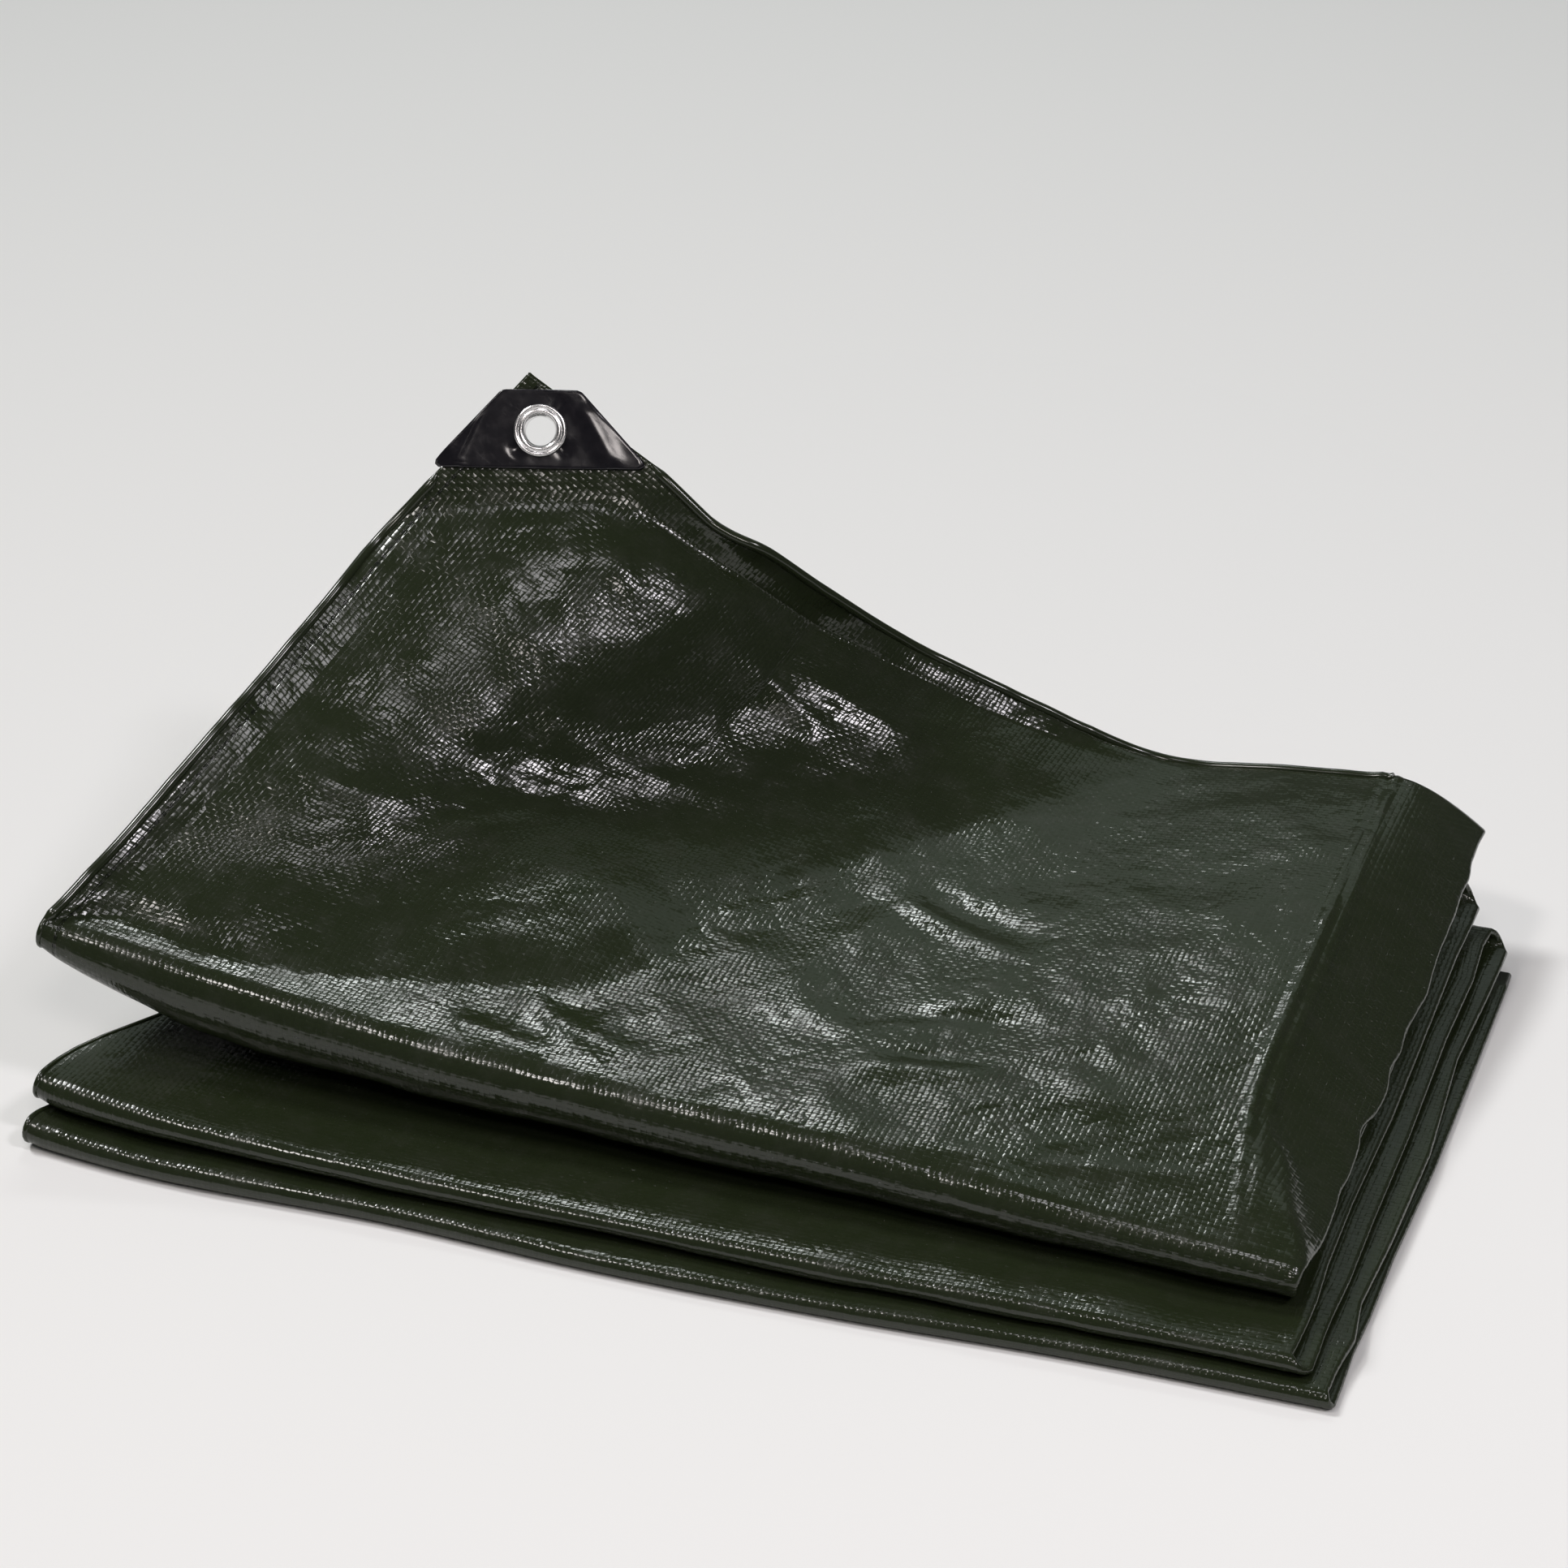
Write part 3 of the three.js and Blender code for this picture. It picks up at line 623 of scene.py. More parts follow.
def fold_waves(mid, places, along_sheet, top):
    """Small uneven waves of the plies and folds, none on the top's panel and near the floor."""
    waves = 0.0
    for number, (size, share) in enumerate(FOLD_WAVE_SIZES):
        seed = FOLD_WAVE_SEED + number
        noise = lattice_noise(places + FOLD_WAVE_SHIFT, along_sheet * FOLD_WAVE_ALONG, size, seed)
        waves = waves + share * noise
    to_front = along_sheet[:, :1] - TOP_LENGTH + FOLD_WAVE_BLEND
    in_top = np.where(top[:, None], smooth(to_front / FOLD_WAVE_BLEND), 1.0)
    in_from_edge = (SHOULDER - EDGE_WAVES_INSET - places) / EDGE_WAVES_BLEND
    inside = mix(EDGE_WAVES, 1.0, smooth(in_from_edge))
    inside = inside * smooth((mid[..., 2] - LOWEST) / FLOOR_CLEAR)
    return waves * FOLD_WAVES * in_top * inside


def lift_upper_layer(points, u, share):
    """The top's upper layer with its corner lifted, its creases and its crumple."""
    at_corner = np.clip(1 - u / CORNER_TRIM_TO, 0, None)
    trim = CORNER_TRIM * at_corner * ramp(share, *TRIM_ZONE)
    v = points[..., 1] - TOP_FRONT - trim
    w = TOP_LENGTH - v
    lifted = points + relaxed(lifted_top(u, v, points) - points, u, w)
    fades = smooth(v / RELIEF_FRONT) * smooth((SHOULDER + RELIEF_PAST - u) / RELIEF_RIGHT)
    clear = smooth((u + TOP_LENGTH - v - STIFF_TO) / RISE_CLEAR)
    relief = (top_relief(u, w) + rise_height(u, w) * clear) * fades
    return lifted + grid_normals(lifted) * relief[..., None]


def settle_lower_layer(points, u, share):
    """The top's lower layer, dented where the upper one is, with its back edge set in."""
    v = points[..., 1] - TOP_FRONT
    dent = np.minimum(0, top_relief(u, TOP_LENGTH - v)) * smooth(v / RELIEF_FRONT)
    settled = points.copy()
    settled[..., 2] += dent * smooth((SHOULDER - u) / RELIEF_RIGHT)
    settled[..., 1] -= LOWER_BACK_IN * ramp(share, *LOWER_BACK_ZONE)
    return settled


def folded_grid():
    """Middle points of the folded sheet, and each one's distances across and along the sheet."""
    rows = path_stations()
    zones, shares, sides, outs = (np.array(part) for part in zip(*cross_stations()))
    places = np.stack([place_across(row, zones, shares, sides) for row in rows])
    mid = np.stack([middle(row, x) for row, x in zip(rows, places)])
    right = np.stack([middle(row, x + 1) for row, x in zip(rows, places)])
    left = np.stack([middle(row, x - 1) for row, x in zip(rows, places)])
    across = unit(right - left)
    square = unit(np.cross(np.gradient(mid, axis=0), across))
    across_sheet, along_sheet = sheet_distances(mid, places, sides)
    top = np.array([row[0] == 1 and row[2] is None for row in rows])
    mid = mid + square * fold_waves(mid, places, along_sheet, top)[..., None]
    points = mid + square * (sides[None, :, None] * PAIR / 2) + across * outs[None, :, None]

    share = np.array([row[1] if row[1] is not None else 0.0 for row in rows])[top, None]
    upper = np.ix_(top, sides > FLAT_SIDE)
    under = np.ix_(top, sides < -FLAT_SIDE)
    points[upper] = lift_upper_layer(points[upper], places[upper] - TOP_LEFT, share)
    points[under] = settle_lower_layer(points[under], places[under] - TOP_LEFT, share)
    return points, across_sheet, along_sheet


def thicken(grid, thickness):
    """Closed shell of a grid of middle points, as vertices and faces."""
    rows, cols = grid.shape[:2]
    normals = grid_normals(grid)
    outer = grid + normals * thickness / 2
    inner = grid - normals * thickness / 2
    vertices = np.concatenate([outer.reshape(-1, 3), inner.reshape(-1, 3)])
    index = np.arange(rows * cols).reshape(rows, cols)
    a = index[:-1, :-1].ravel()
    b = index[1:, :-1].ravel()
    c = index[1:, 1:].ravel()
    d = index[:-1, 1:].ravel()
    back = rows * cols
    quads = [np.stack([a, b, c, d], -1), np.stack([a, d, c, b], -1) + back]
    edges = ((index[:, 0], False), (index[:, -1], True), (index[0, :], True), (index[-1, :], False))
    for edge, flip in edges:
        rim = np.stack([edge[:-1], edge[:-1] + back, edge[1:] + back, edge[1:]], -1)
        quads.append(rim[:, ::-1] if flip else rim)
    return vertices, np.concatenate(quads)


def in_metres(points):
    """Points of the packet's frame in the part's frame and in metres, as plain lists."""
    return ((np.asarray(points) + np.array(PACKET_ORIGIN)) * MM).tolist()


def added(name, data):
    """A new object in the scene."""
    obj = bpy.data.objects.new(name, data)
    bpy.context.scene.collection.objects.link(obj)
    return obj


def mesh_object(name, vertices, faces, finish, uv=None):
    """A smooth mesh piece from points in millimetres, with its own UV map in metres."""
    mesh = bpy.data.meshes.new(name)
    mesh.from_pydata(in_metres(vertices), [], [list(face) for face in faces])
    mesh.update()
    mesh.materials.append(finish)
    mesh.polygons.foreach_set("use_smooth", [True] * len(mesh.polygons))
    if uv is not None:
        corners = np.empty(len(mesh.loops), int)
        mesh.loops.foreach_get("vertex_index", corners)
        layer = mesh.uv_layers.new(name="sheet")
        layer.data.foreach_set("uv", (np.asarray(uv)[corners] * MM).ravel())
    return added(name, mesh)


def outward(obj):
    """Turns a closed mesh's faces so that they all point out."""
    shape = bmesh.new()
    shape.from_mesh(obj.data)
    bmesh.ops.recalc_face_normals(shape, faces=shape.faces)
    shape.to_mesh(obj.data)
    shape.free()
    return obj


# Shader helpers
class Tree:
    """Adds nodes to a shader or group tree and links them."""

    def __init__(self, tree):
        self.tree = tree

    def node(self, kind, links=(), **settings):
        made = self.tree.nodes.new(kind)
        for name, value in settings.items():
            setattr(made, name, value)
        for name, value in dict(links).items():
            self.feed(made.inputs[name], value)
        return made

    def feed(self, socket, value):
        if isinstance(value, bpy.types.NodeSocket):
            self.tree.links.new(value, socket)
        else:
            socket.default_value = value

    def math(self, operation, a, b=0.0, c=0.0):
        return self.node("ShaderNodeMath", {0: a, 1: b, 2: c}, operation=operation).outputs[0]

    def times(self, a, b):
        return self.math("MULTIPLY", a, b)

    def plus(self, a, b):
        return self.math("ADD", a, b)

    def scaled(self, value, by, offset):
        return self.math("MULTIPLY_ADD", value, by, offset)

    def minus(self, a, b):
        return self.math("SUBTRACT", a, b)

    def noise(self, vector, scale, detail=2.0, roughness=0.5):
        links = {"Vector": vector, "Scale": scale, "Detail": detail, "Roughness": roughness}
        return self.node("ShaderNodeTexNoise", links).outputs[0]

    def spread(self, value, low, high, to_low=0.0, to_high=1.0):
        links = {0: value, 1: low, 2: high, 3: to_low, 4: to_high}
        return self.node("ShaderNodeMapRange", links, interpolation_type="SMOOTHSTEP").outputs[0]

    def bump(self, height, distance, strength=1.0, **under):
        links = {"Strength": strength, "Distance": distance, "Height": height, **under}
        return self.node("ShaderNodeBump", links).outputs[0]

    def combine(self, x, y, z=0.0):
        return self.node("ShaderNodeCombineXYZ", {0: x, 1: y, 2: z}).outputs[0]

    def blend(self, factor, a, b):
        mixed = self.node("ShaderNodeMix", data_type="RGBA")
        for socket, value in ((mixed.inputs[0], factor), (mixed.inputs[6], a), (mixed.inputs[7], b)):
            self.feed(socket, value)
        return mixed.outputs[2]


def shader_group(name, inputs, outputs):
    """An empty group with number inputs (a vector where the value is None) and number outputs."""
    group = bpy.data.node_groups.new(name, "ShaderNodeTree")
    for label, value in inputs.items():
        kind = "NodeSocketVector" if value is None else "NodeSocketFloat"
        socket = group.interface.new_socket(label, in_out="INPUT", socket_type=kind)
        if value is not None:
            socket.default_value = value
    for label in outputs:
        group.interface.new_socket(label, in_out="OUTPUT", socket_type="NodeSocketFloat")
    tree = Tree(group)
    given = tree.node("NodeGroupInput").outputs
    result = tree.node("NodeGroupOutput").inputs
    return tree, given, result


# Weave: seed of each set of tapes, and how a tape wanders, leans, crests and dips under the next
TAPE_PITCH = 0.00205
TAPE_SEEDS = ((0, 3.7), (1, 91.3))
TAPE_STEP = 7.31
TAPE_WANDER = 0.4
TAPE_LEAN = 3.0
TAPE_CREST = 2.6
TAPE_DIP = 1.1


def tape_weave_group():
    """Plain weave of flat tapes: its height, and a random value from tape to tape."""
    inputs = {"Vector": None, "Pitch": TAPE_PITCH, "Lean": 1.2, "Rib": 0.45}
    tree, given, result = shader_group("tape_weave", inputs, ("Height", "Tape"))
    place = tree.node("ShaderNodeSeparateXYZ", {0: given["Vector"]}).outputs
    heights = []
    tapes = []
    cells = []
    for axis, seed in TAPE_SEEDS:
        cell = tree.math("DIVIDE", place[axis], given["Pitch"])
        other = tree.math("DIVIDE", place[1 - axis], given["Pitch"])
        number = tree.math("FLOOR", cell)
        inside = tree.minus(tree.math("FRACT", cell), 0.5)
        cells.append((number, inside))
        run = tree.combine(tree.scaled(number, TAPE_STEP, seed),
                           tree.times(other, TAPE_WANDER))
        wander = tree.minus(tree.noise(run, 1.0, 1.0), 0.5)
        lean = tree.times(tree.times(wander, given["Lean"]), inside)
        from_middle = tree.math("ABSOLUTE", tree.times(inside, 2.0))
        crest = tree.minus(1.0, tree.math("POWER", from_middle, TAPE_CREST))
        heights.append((crest, tree.times(lean, TAPE_LEAN)))
        tapes.append(tree.plus(wander, 0.5))
    both = tree.plus(cells[0][0], cells[1][0])
    half = tree.math("FRACT", tree.times(both, 0.5))
    warp_on_top = tree.times(half, 2.0)
    dips = [tree.times(tree.times(inside, inside), TAPE_DIP) for number, inside in cells]
    warp = tree.plus(tree.minus(heights[0][0], dips[1]), heights[0][1])
    weft = tree.plus(tree.minus(heights[1][0], dips[0]), heights[1][1])
    woven = tree.plus(tree.times(warp, warp_on_top),
                      tree.times(weft, tree.minus(1.0, warp_on_top)))
    ribbed = tree.plus(woven, tree.times(heights[0][0], given["Rib"]))
    tree.feed(result["Height"], ribbed)
    tree.feed(result["Tape"], tree.times(tree.plus(tapes[0], tapes[1]), 0.5))
    return tree.tree


# Film crinkle: fineness and share of each of its two sizes
CRINKLE_SIZES = ((1.0, 1.0), (2.3, 0.45))


def film_crinkle_group():
    """Fine broken creases of thin film or sheet, as a height."""
    tree, given, result = shader_group("film_crinkle", {"Vector": None, "Scale": 90.0}, ("Height",))
    total = 0.0
    for step, share in CRINKLE_SIZES:
        waves = tree.noise(given["Vector"], tree.times(given["Scale"], step), 1.5, 0.4)
        fold = tree.math("ABSOLUTE", tree.minus(waves, 0.5))
        total = tree.plus(total, tree.times(fold, share))
    tree.feed(result["Height"], total)
    return tree.tree


DUST_FROM_TO = (0.42, 0.72)
SCRATCHES_FROM_TO = (0.62, 0.7)
SCRATCH_TURN = (0.4, 0.9, 0.6)
SCRATCH_STRETCH = (1.0, 14.0, 1.0)


def handling_wear_group():
    """Dust and fine scratches, as masks from 0 to 1."""
    tree, given, result = shader_group(
        "handling_wear", {"Vector": None, "Scale": 40.0}, ("Dust", "Scratches"))
    dust = tree.noise(given["Vector"], tree.times(given["Scale"], 3.0), 6.0, 0.65)
    tree.feed(result["Dust"], tree.spread(dust, *DUST_FROM_TO))
    turned = tree.node("ShaderNodeMapping", {"Vector": given["Vector"], "Rotation": SCRATCH_TURN,
                                             "Scale": SCRATCH_STRETCH}).outputs[0]
    marks = tree.noise(turned, tree.times(given["Scale"], 2.0), 3.0, 0.6)
    tree.feed(result["Scratches"], tree.spread(marks, *SCRATCHES_FROM_TO))
    return tree.tree


WEAVE = tape_weave_group()
CRINKLE = film_crinkle_group()
WEAR = handling_wear_group()


def start_material(name, **values):
    made = bpy.data.materials.new(name)
    made.use_nodes = True
    tree = Tree(made.node_tree)
    shader = made.node_tree.nodes["Principled BSDF"]
    for label, value in values.items():
        shader.inputs[label.replace("_", " ")].default_value = value
    return made, tree, shader


def placed(tree, group, **links):
    node = tree.node("ShaderNodeGroup", node_tree=group)
    for label, value in links.items():
        tree.feed(node.inputs[label], value)
    return node.outputs


SEAM_FROM_EDGE = 0.0062
SEAM_DASH = 0.0042
SEAM_FROM_TO = (0.0003, 0.0008)
SEAM_DEPTH = 0.0004
SEAM_DARK = (0.002, 0.003, 0.002, 1)
WEAVE_HEIGHT = 0.00006
CRINKLE_HEIGHT = 0.0009
PATCH_CRINKLE_HEIGHT = 0.00035
SCRATCH_DEPTH = 0.00001
OLIVE = (0.0145, 0.0205, 0.0082, 1)
OLIVE_PALE = (0.0195, 0.0255, 0.012, 1)
OLIVE_DUST = (0.05, 0.048, 0.042, 1)
PATCH_BLACK = (0.0085, 0.0078, 0.0105, 1)
PATCH_DUSTY = (0.013, 0.0115, 0.0145, 1)
ALUMINIUM = (0.83, 0.82, 0.82, 1)
ALUMINIUM_DIRT = (0.5, 0.49, 0.49, 1)


def cloth_material():
    """Laminated polyethylene tape cloth: satin film over a weave whose tapes catch the light."""
    made, tree, shader = start_material("woven_polyethylene", IOR=1.5)
    sheet = tree.node("ShaderNodeUVMap", uv_map="sheet").outputs[0]
    weave = placed(tree, WEAVE, Vector=sheet)
    crinkle = placed(tree, CRINKLE, Vector=sheet, Scale=75.0)
    wear = placed(tree, WEAR, Vector=sheet, Scale=22.0)
    cloudy = tree.noise(sheet, 24.0, 3.0)
    patches = tree.spread(cloudy, 0.35, 0.65)
    colour = tree.blend(tree.times(weave["Tape"], 0.8), OLIVE, OLIVE_PALE)
    colour = tree.blend(tree.times(wear["Dust"], 0.12), colour, OLIVE_DUST)
    from_hem = tree.node("ShaderNodeSeparateXYZ", {0: sheet}).outputs
    off_seam = tree.math("ABSOLUTE", tree.minus(from_hem[0], SEAM_FROM_EDGE))
    dashes = tree.spread(tree.math("FRACT", tree.math("DIVIDE", from_hem[1], SEAM_DASH)), 0.5, 0.62)
    seam = tree.times(tree.spread(off_seam, *SEAM_FROM_TO, 1.0, 0.0),
                      tree.scaled(dashes, 0.6, 0.4))
    colour = tree.blend(tree.times(seam, 0.7), colour, SEAM_DARK)
    tree.feed(shader.inputs["Base Color"], colour)
    rough = tree.scaled(patches, 0.07, 0.115)
    rough = tree.scaled(wear["Dust"], 0.1, rough)
    tree.feed(shader.inputs["Roughness"], rough)
    shown = tree.times(weave["Height"], tree.spread(cloudy, 0.3, 0.7, 0.45, 1.0))
    woven = tree.bump(shown, WEAVE_HEIGHT)
    seamed = tree.bump(seam, -SEAM_DEPTH, Normal=woven)
    film = tree.bump(crinkle["Height"], CRINKLE_HEIGHT, 0.8, Normal=seamed)
    tree.feed(shader.inputs["Normal"], film)
    return made


def plastic_material():
    """Glossy black film of the corner patch, a little violet, with handling marks."""
    made, tree, shader = start_material("patch_plastic", IOR=1.5)
    here = tree.node("ShaderNodeTexCoord").outputs["Object"]
    wear = placed(tree, WEAR, Vector=here, Scale=60.0)
    crinkle = placed(tree, CRINKLE, Vector=here, Scale=55.0)
    colour = tree.blend(wear["Dust"], PATCH_BLACK, PATCH_DUSTY)
    tree.feed(shader.inputs["Base Color"], colour)
    rough = tree.scaled(wear["Dust"], 0.06, 0.16)
    rough = tree.scaled(wear["Scratches"], 0.06, rough)
    tree.feed(shader.inputs["Roughness"], rough)
    tree.feed(shader.inputs["Normal"], tree.bump(crinkle["Height"], PATCH_CRINKLE_HEIGHT, 0.5))
    return made


def metal_material():
    """Bright stamped aluminium with fine drawing marks and a little dirt."""
    made, tree, shader = start_material("eyelet_aluminium", Metallic=1.0)
    here = tree.node("ShaderNodeTexCoord").outputs["Object"]
    wear = placed(tree, WEAR, Vector=here, Scale=45.0)
    colour = tree.blend(tree.times(wear["Dust"], 0.5), ALUMINIUM, ALUMINIUM_DIRT)
    tree.feed(shader.inputs["Base Color"], colour)
    rough = tree.scaled(wear["Dust"], 0.1, 0.24)
    tree.feed(shader.inputs["Roughness"], rough)
    tree.feed(shader.inputs["Normal"], tree.bump(wear["Scratches"], SCRATCH_DEPTH, 0.2))
    return made


CLOTH = cloth_material()
PLASTIC = plastic_material()
METAL = metal_material()

# Patch and eyelet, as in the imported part
PATCH_SHEET = 1.0
SEAT = 0.35
EYELET_AT = 27.3
EYELET_FLANGE = 10.0
EYELET_BORE = 5.6
EYELET_WALL = 0.6
HOLE_RADIUS = EYELET_BORE + EYELET_WALL + SEAT
DOWN = unit(PATCH_RIGHT + PATCH_LEFT)
ASIDE = unit(PATCH_RIGHT - PATCH_LEFT)


def on_corner(down, aside, out):
    """Points by their distance down the corner's middle line, to its right, and off its face."""
    return (CORNER + np.multiply.outer(down, DOWN) + np.multiply.outer(aside, ASIDE)
            + np.multiply.outer(out, CORNER_NORMAL))


CUTTER_SIDES = 64
CUTTER_REACH = 8.0


def around_eyelet(radius, turn):
    """Distances down the corner and to the right of a place around the eyelet's middle."""
    return EYELET_AT + radius * np.cos(turn), radius * np.sin(turn)


def cut_hole(sheet_object):
    """Cuts the round hole for the eyelet through the cloth of the corner."""
    sides = CUTTER_SIDES
    turn = np.linspace(0, 2 * math.pi, sides, endpoint=False)
    rings = [on_corner(*around_eyelet(HOLE_RADIUS, turn), np.full(sides, out))
             for out in (-CUTTER_REACH, CUTTER_REACH)]
    faces = [tuple(range(sides)), tuple(range(2 * sides - 1, sides - 1, -1))]
    faces += [(i, i + sides, (i + 1) % sides + sides, (i + 1) % sides) for i in range(sides)]
    cutter = outward(mesh_object("hole_cutter", np.concatenate(rings), faces, CLOTH))
    cut = sheet_object.modifiers.new("hole", "BOOLEAN")
    cut.object = cutter
    cut.operation = "DIFFERENCE"
    cut.solver = "EXACT"
    applied(sheet_object)
    bpy.data.objects.remove(cutter)


def applied(obj):
    """Replaces an object's mesh by its evaluated one and drops its modifiers."""
    graph = bpy.context.evaluated_depsgraph_get()
    made = bpy.data.meshes.new_from_object(obj.evaluated_get(graph), preserve_all_data_layers=True,
                                           depsgraph=graph)
    obj.modifiers.clear()
    old = obj.data
    obj.data = made
    bpy.data.meshes.remove(old)
    return obj


GRID, ACROSS_SHEET, ALONG_SHEET = folded_grid()


def make_sheet():
    vertices, faces = thicken(GRID, SHEET)
    uv = np.stack([ACROSS_SHEET.ravel(), ALONG_SHEET.ravel()], -1)
    made = mesh_object("tarp_sheet", vertices, faces, CLOTH, np.concatenate([uv, uv]))
    cut_hole(made)
    return made


sheet = make_sheet()
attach(sheet, "root")
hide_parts("tarp")

# Corner patch: a plate on each face, its outline by distance down the corner and to the right
PATCH_OUTLINE = (
    (11.8, -13.2), (12.3, -15.2), (38.6, -39.6), (40.4, -39.9), (41.6, -38.2), (41.7, 0.0),
    (41.6, 38.4), (40.4, 39.9), (38.6, 39.4), (12.6, 15.6), (11.8, 13.6), (11.7, 0.0),
)
PATCH_EDGE = 0.22
PATCH_EDGE_WIDTH = 1.2
PATCH_RINGS = 26
PATCH_RING_DENSITY = 0.9
PATCH_SPOKES = 180
PATCH_ROUNDING = 5
PATCH_LEAST = -0.7

# Its moulding: dimples at the eyelet by (degrees, spread, reach, depth), a fold along the left
# side, a swell at the right and a gentle sag all over
DIMPLES = ((38, 13, 15.5, 0.7), (142, 13, 15.5, 0.6), (-52, 12, 17.0, 0.5))
DIMPLE_EASE = 4
LEFT_FOLD = {"height": 0.45, "at": 4.0, "width": 1.1, "from": 13, "over": 8}
LEFT_SIDE = {"down": 0.42, "aside": 0.91, "shift": 40, "away": 20.0}
SWELL = {"height": 0.7, "aside": 21, "down": 27, "lean": -0.55, "width": 4.2}
SWELL_ZONE = (15, 6)
SWELL_TO = 44
SWELL_OUT = 8
SAG = 0.12
SAG_SIZE = 14.0
SAG_SEED = 61
SAG_SHIFT = 900

# The left base corner of the front plate curls round the hem
CURL = 2.2
CURL_ZONE = (33, 7)
CURL_UNDER = 10


def ring_faces(rings, count):
    """Faces between closed rings of points, from each to the next and from the last to the first."""
    faces = []
    for ring in range(rings):
        here = ring * count
        beyond = (ring + 1) % rings * count
        for spoke in range(count):
            after = (spoke + 1) % count
            faces.append((here + spoke, here + after, beyond + after, beyond + spoke))
    return faces


def rounded_outline(corners, count, rounding):
    """Points along a closed outline whose corners are rounded off by repeated averaging."""
    closed = np.array(corners + (corners[0],), float)
    steps = np.linalg.norm(np.diff(closed, axis=0), axis=-1)
    path = np.concatenate([[0], np.cumsum(steps)])
    at = np.linspace(0, path[-1], count * 4, endpoint=False)
    line = np.stack([np.interp(at, path, closed[:, i]) for i in (0, 1)], -1)
    for step in range(rounding):
        line = (np.roll(line, 1, 0) + line * 2 + np.roll(line, -1, 0)) / 4
    return line


def spokes_to(line, centre, count):
    """Reach of an outline around a point, for evenly turned spokes."""
    around = line - centre
    angle = np.arctan2(around[:, 1], around[:, 0])
    order = np.argsort(angle)
    turn = np.linspace(-math.pi, math.pi, count, endpoint=False)
    reach = np.interp(turn, angle[order], np.hypot(*around.T)[order], period=2 * math.pi)
    return turn, reach


def patch_relief(down, aside):
    """Height of the moulded film: a fold along its left side, dimples and pulls at the eyelet."""
    from_left = down * LEFT_SIDE["down"] + (aside + LEFT_SIDE["shift"]) * LEFT_SIDE["aside"]
    from_left = from_left - LEFT_SIDE["away"]
    fold = LEFT_FOLD["height"] * np.exp(-((from_left - LEFT_FOLD["at"]) / LEFT_FOLD["width"]) ** 2)
    height = fold * smooth((down - LEFT_FOLD["from"]) / LEFT_FOLD["over"])
    from_eyelet = np.hypot(down - EYELET_AT, aside)
    angle = np.degrees(np.arctan2(down - EYELET_AT, aside))
    for at, spread, reach, depth in DIMPLES:
        lobe = np.exp(-((angle - at) / spread) ** 2)
        height = height - depth * lobe * smooth((reach - from_eyelet) / DIMPLE_EASE)
    off_swell = aside - SWELL["aside"] + (down - SWELL["down"]) * SWELL["lean"]
    swell = SWELL["height"] * np.exp(-(off_swell / SWELL["width"]) ** 2)
    swell = swell * ramp(down, *SWELL_ZONE)
    height = height + swell * smooth((SWELL_TO - down) / SWELL_OUT)
    sag = SAG * lattice_noise(down + SAG_SHIFT, aside + SAG_SHIFT, SAG_SIZE, SAG_SEED)
    return height + sag * smooth((from_eyelet - EYELET_FLANGE) / DIMPLE_EASE)


def off_face(down, aside, height, side):
    """Points over a place on the corner, at a height off its face on the given side."""
    return on_corner(down, aside, np.zeros_like(down)) + (height[..., None] * CORNER_NORMAL) * side


def patch_plate(name, side):
    """One plate of the patch as a closed ring around the eyelet's hole."""
    line = rounded_outline(PATCH_OUTLINE, PATCH_SPOKES, PATCH_ROUNDING)
    turn, reach = spokes_to(line, np.array((EYELET_AT, 0.0)), PATCH_SPOKES)
    shares = np.linspace(0, 1, PATCH_RINGS) ** PATCH_RING_DENSITY
    radius = HOLE_RADIUS + (reach[None, :] - HOLE_RADIUS) * shares[:, None]
    down, aside = around_eyelet(radius, turn)
    near = SHEET / 2 + SEAT
    edge = np.minimum(reach[None, :] - radius, PATCH_EDGE_WIDTH)
    soft_edge = PATCH_EDGE * (1 - np.clip(edge / PATCH_EDGE_WIDTH, 0, 1)) ** 2
    relief = np.maximum(patch_relief(down, aside), PATCH_LEAST) * smooth(edge / PATCH_EDGE_WIDTH)
    top = near + PATCH_SHEET - soft_edge + relief
    curl = 0.0
    if side > 0:
        curl = CURL * ramp(-aside, *CURL_ZONE) * ramp(down, *CURL_ZONE)
    outer = off_face(down, aside, top - curl, side)
    bottom = np.full_like(down, near) - curl * smooth((radius - HOLE_RADIUS) / CURL_UNDER)
    inside = off_face(down, aside, bottom, side)
    count = PATCH_SPOKES
    rings = list(outer) + list(inside[::-1])
    faces = ring_faces(len(rings), count)
    if side < 0:
        faces = [face[::-1] for face in faces]
    return outward(mesh_object(name, np.concatenate(rings), faces, PLASTIC))


# Spun profiles of the eyelet and its washer, by radius and height off the cloth's middle
EYELET_PROFILE = (
    (5.6, -2.5), (6.15, -2.5), (6.2, -1.4), (6.2, 2.25), (9.6, 2.25), (9.95, 2.42), (10.0, 2.75),
    (9.85, 3.1), (9.5, 3.32), (9.1, 3.35), (8.75, 3.25), (8.5, 3.05), (8.3, 2.95), (8.1, 3.0),
    (7.8, 3.2), (7.4, 3.33), (7.0, 3.3), (6.6, 3.1), (6.25, 2.75), (5.95, 2.25), (5.72, 1.6),
    (5.6, 0.6),
)
WASHER_PROFILE = (
    (6.6, -2.25), (6.6, -2.95), (6.75, -3.05), (7.5, -3.05), (8.1, -2.98), (8.5, -3.05),
    (9.1, -3.04), (9.6, -2.85), (9.8, -2.6), (9.78, -2.35), (9.7, -2.25),
)
SPIN_STEPS = 96


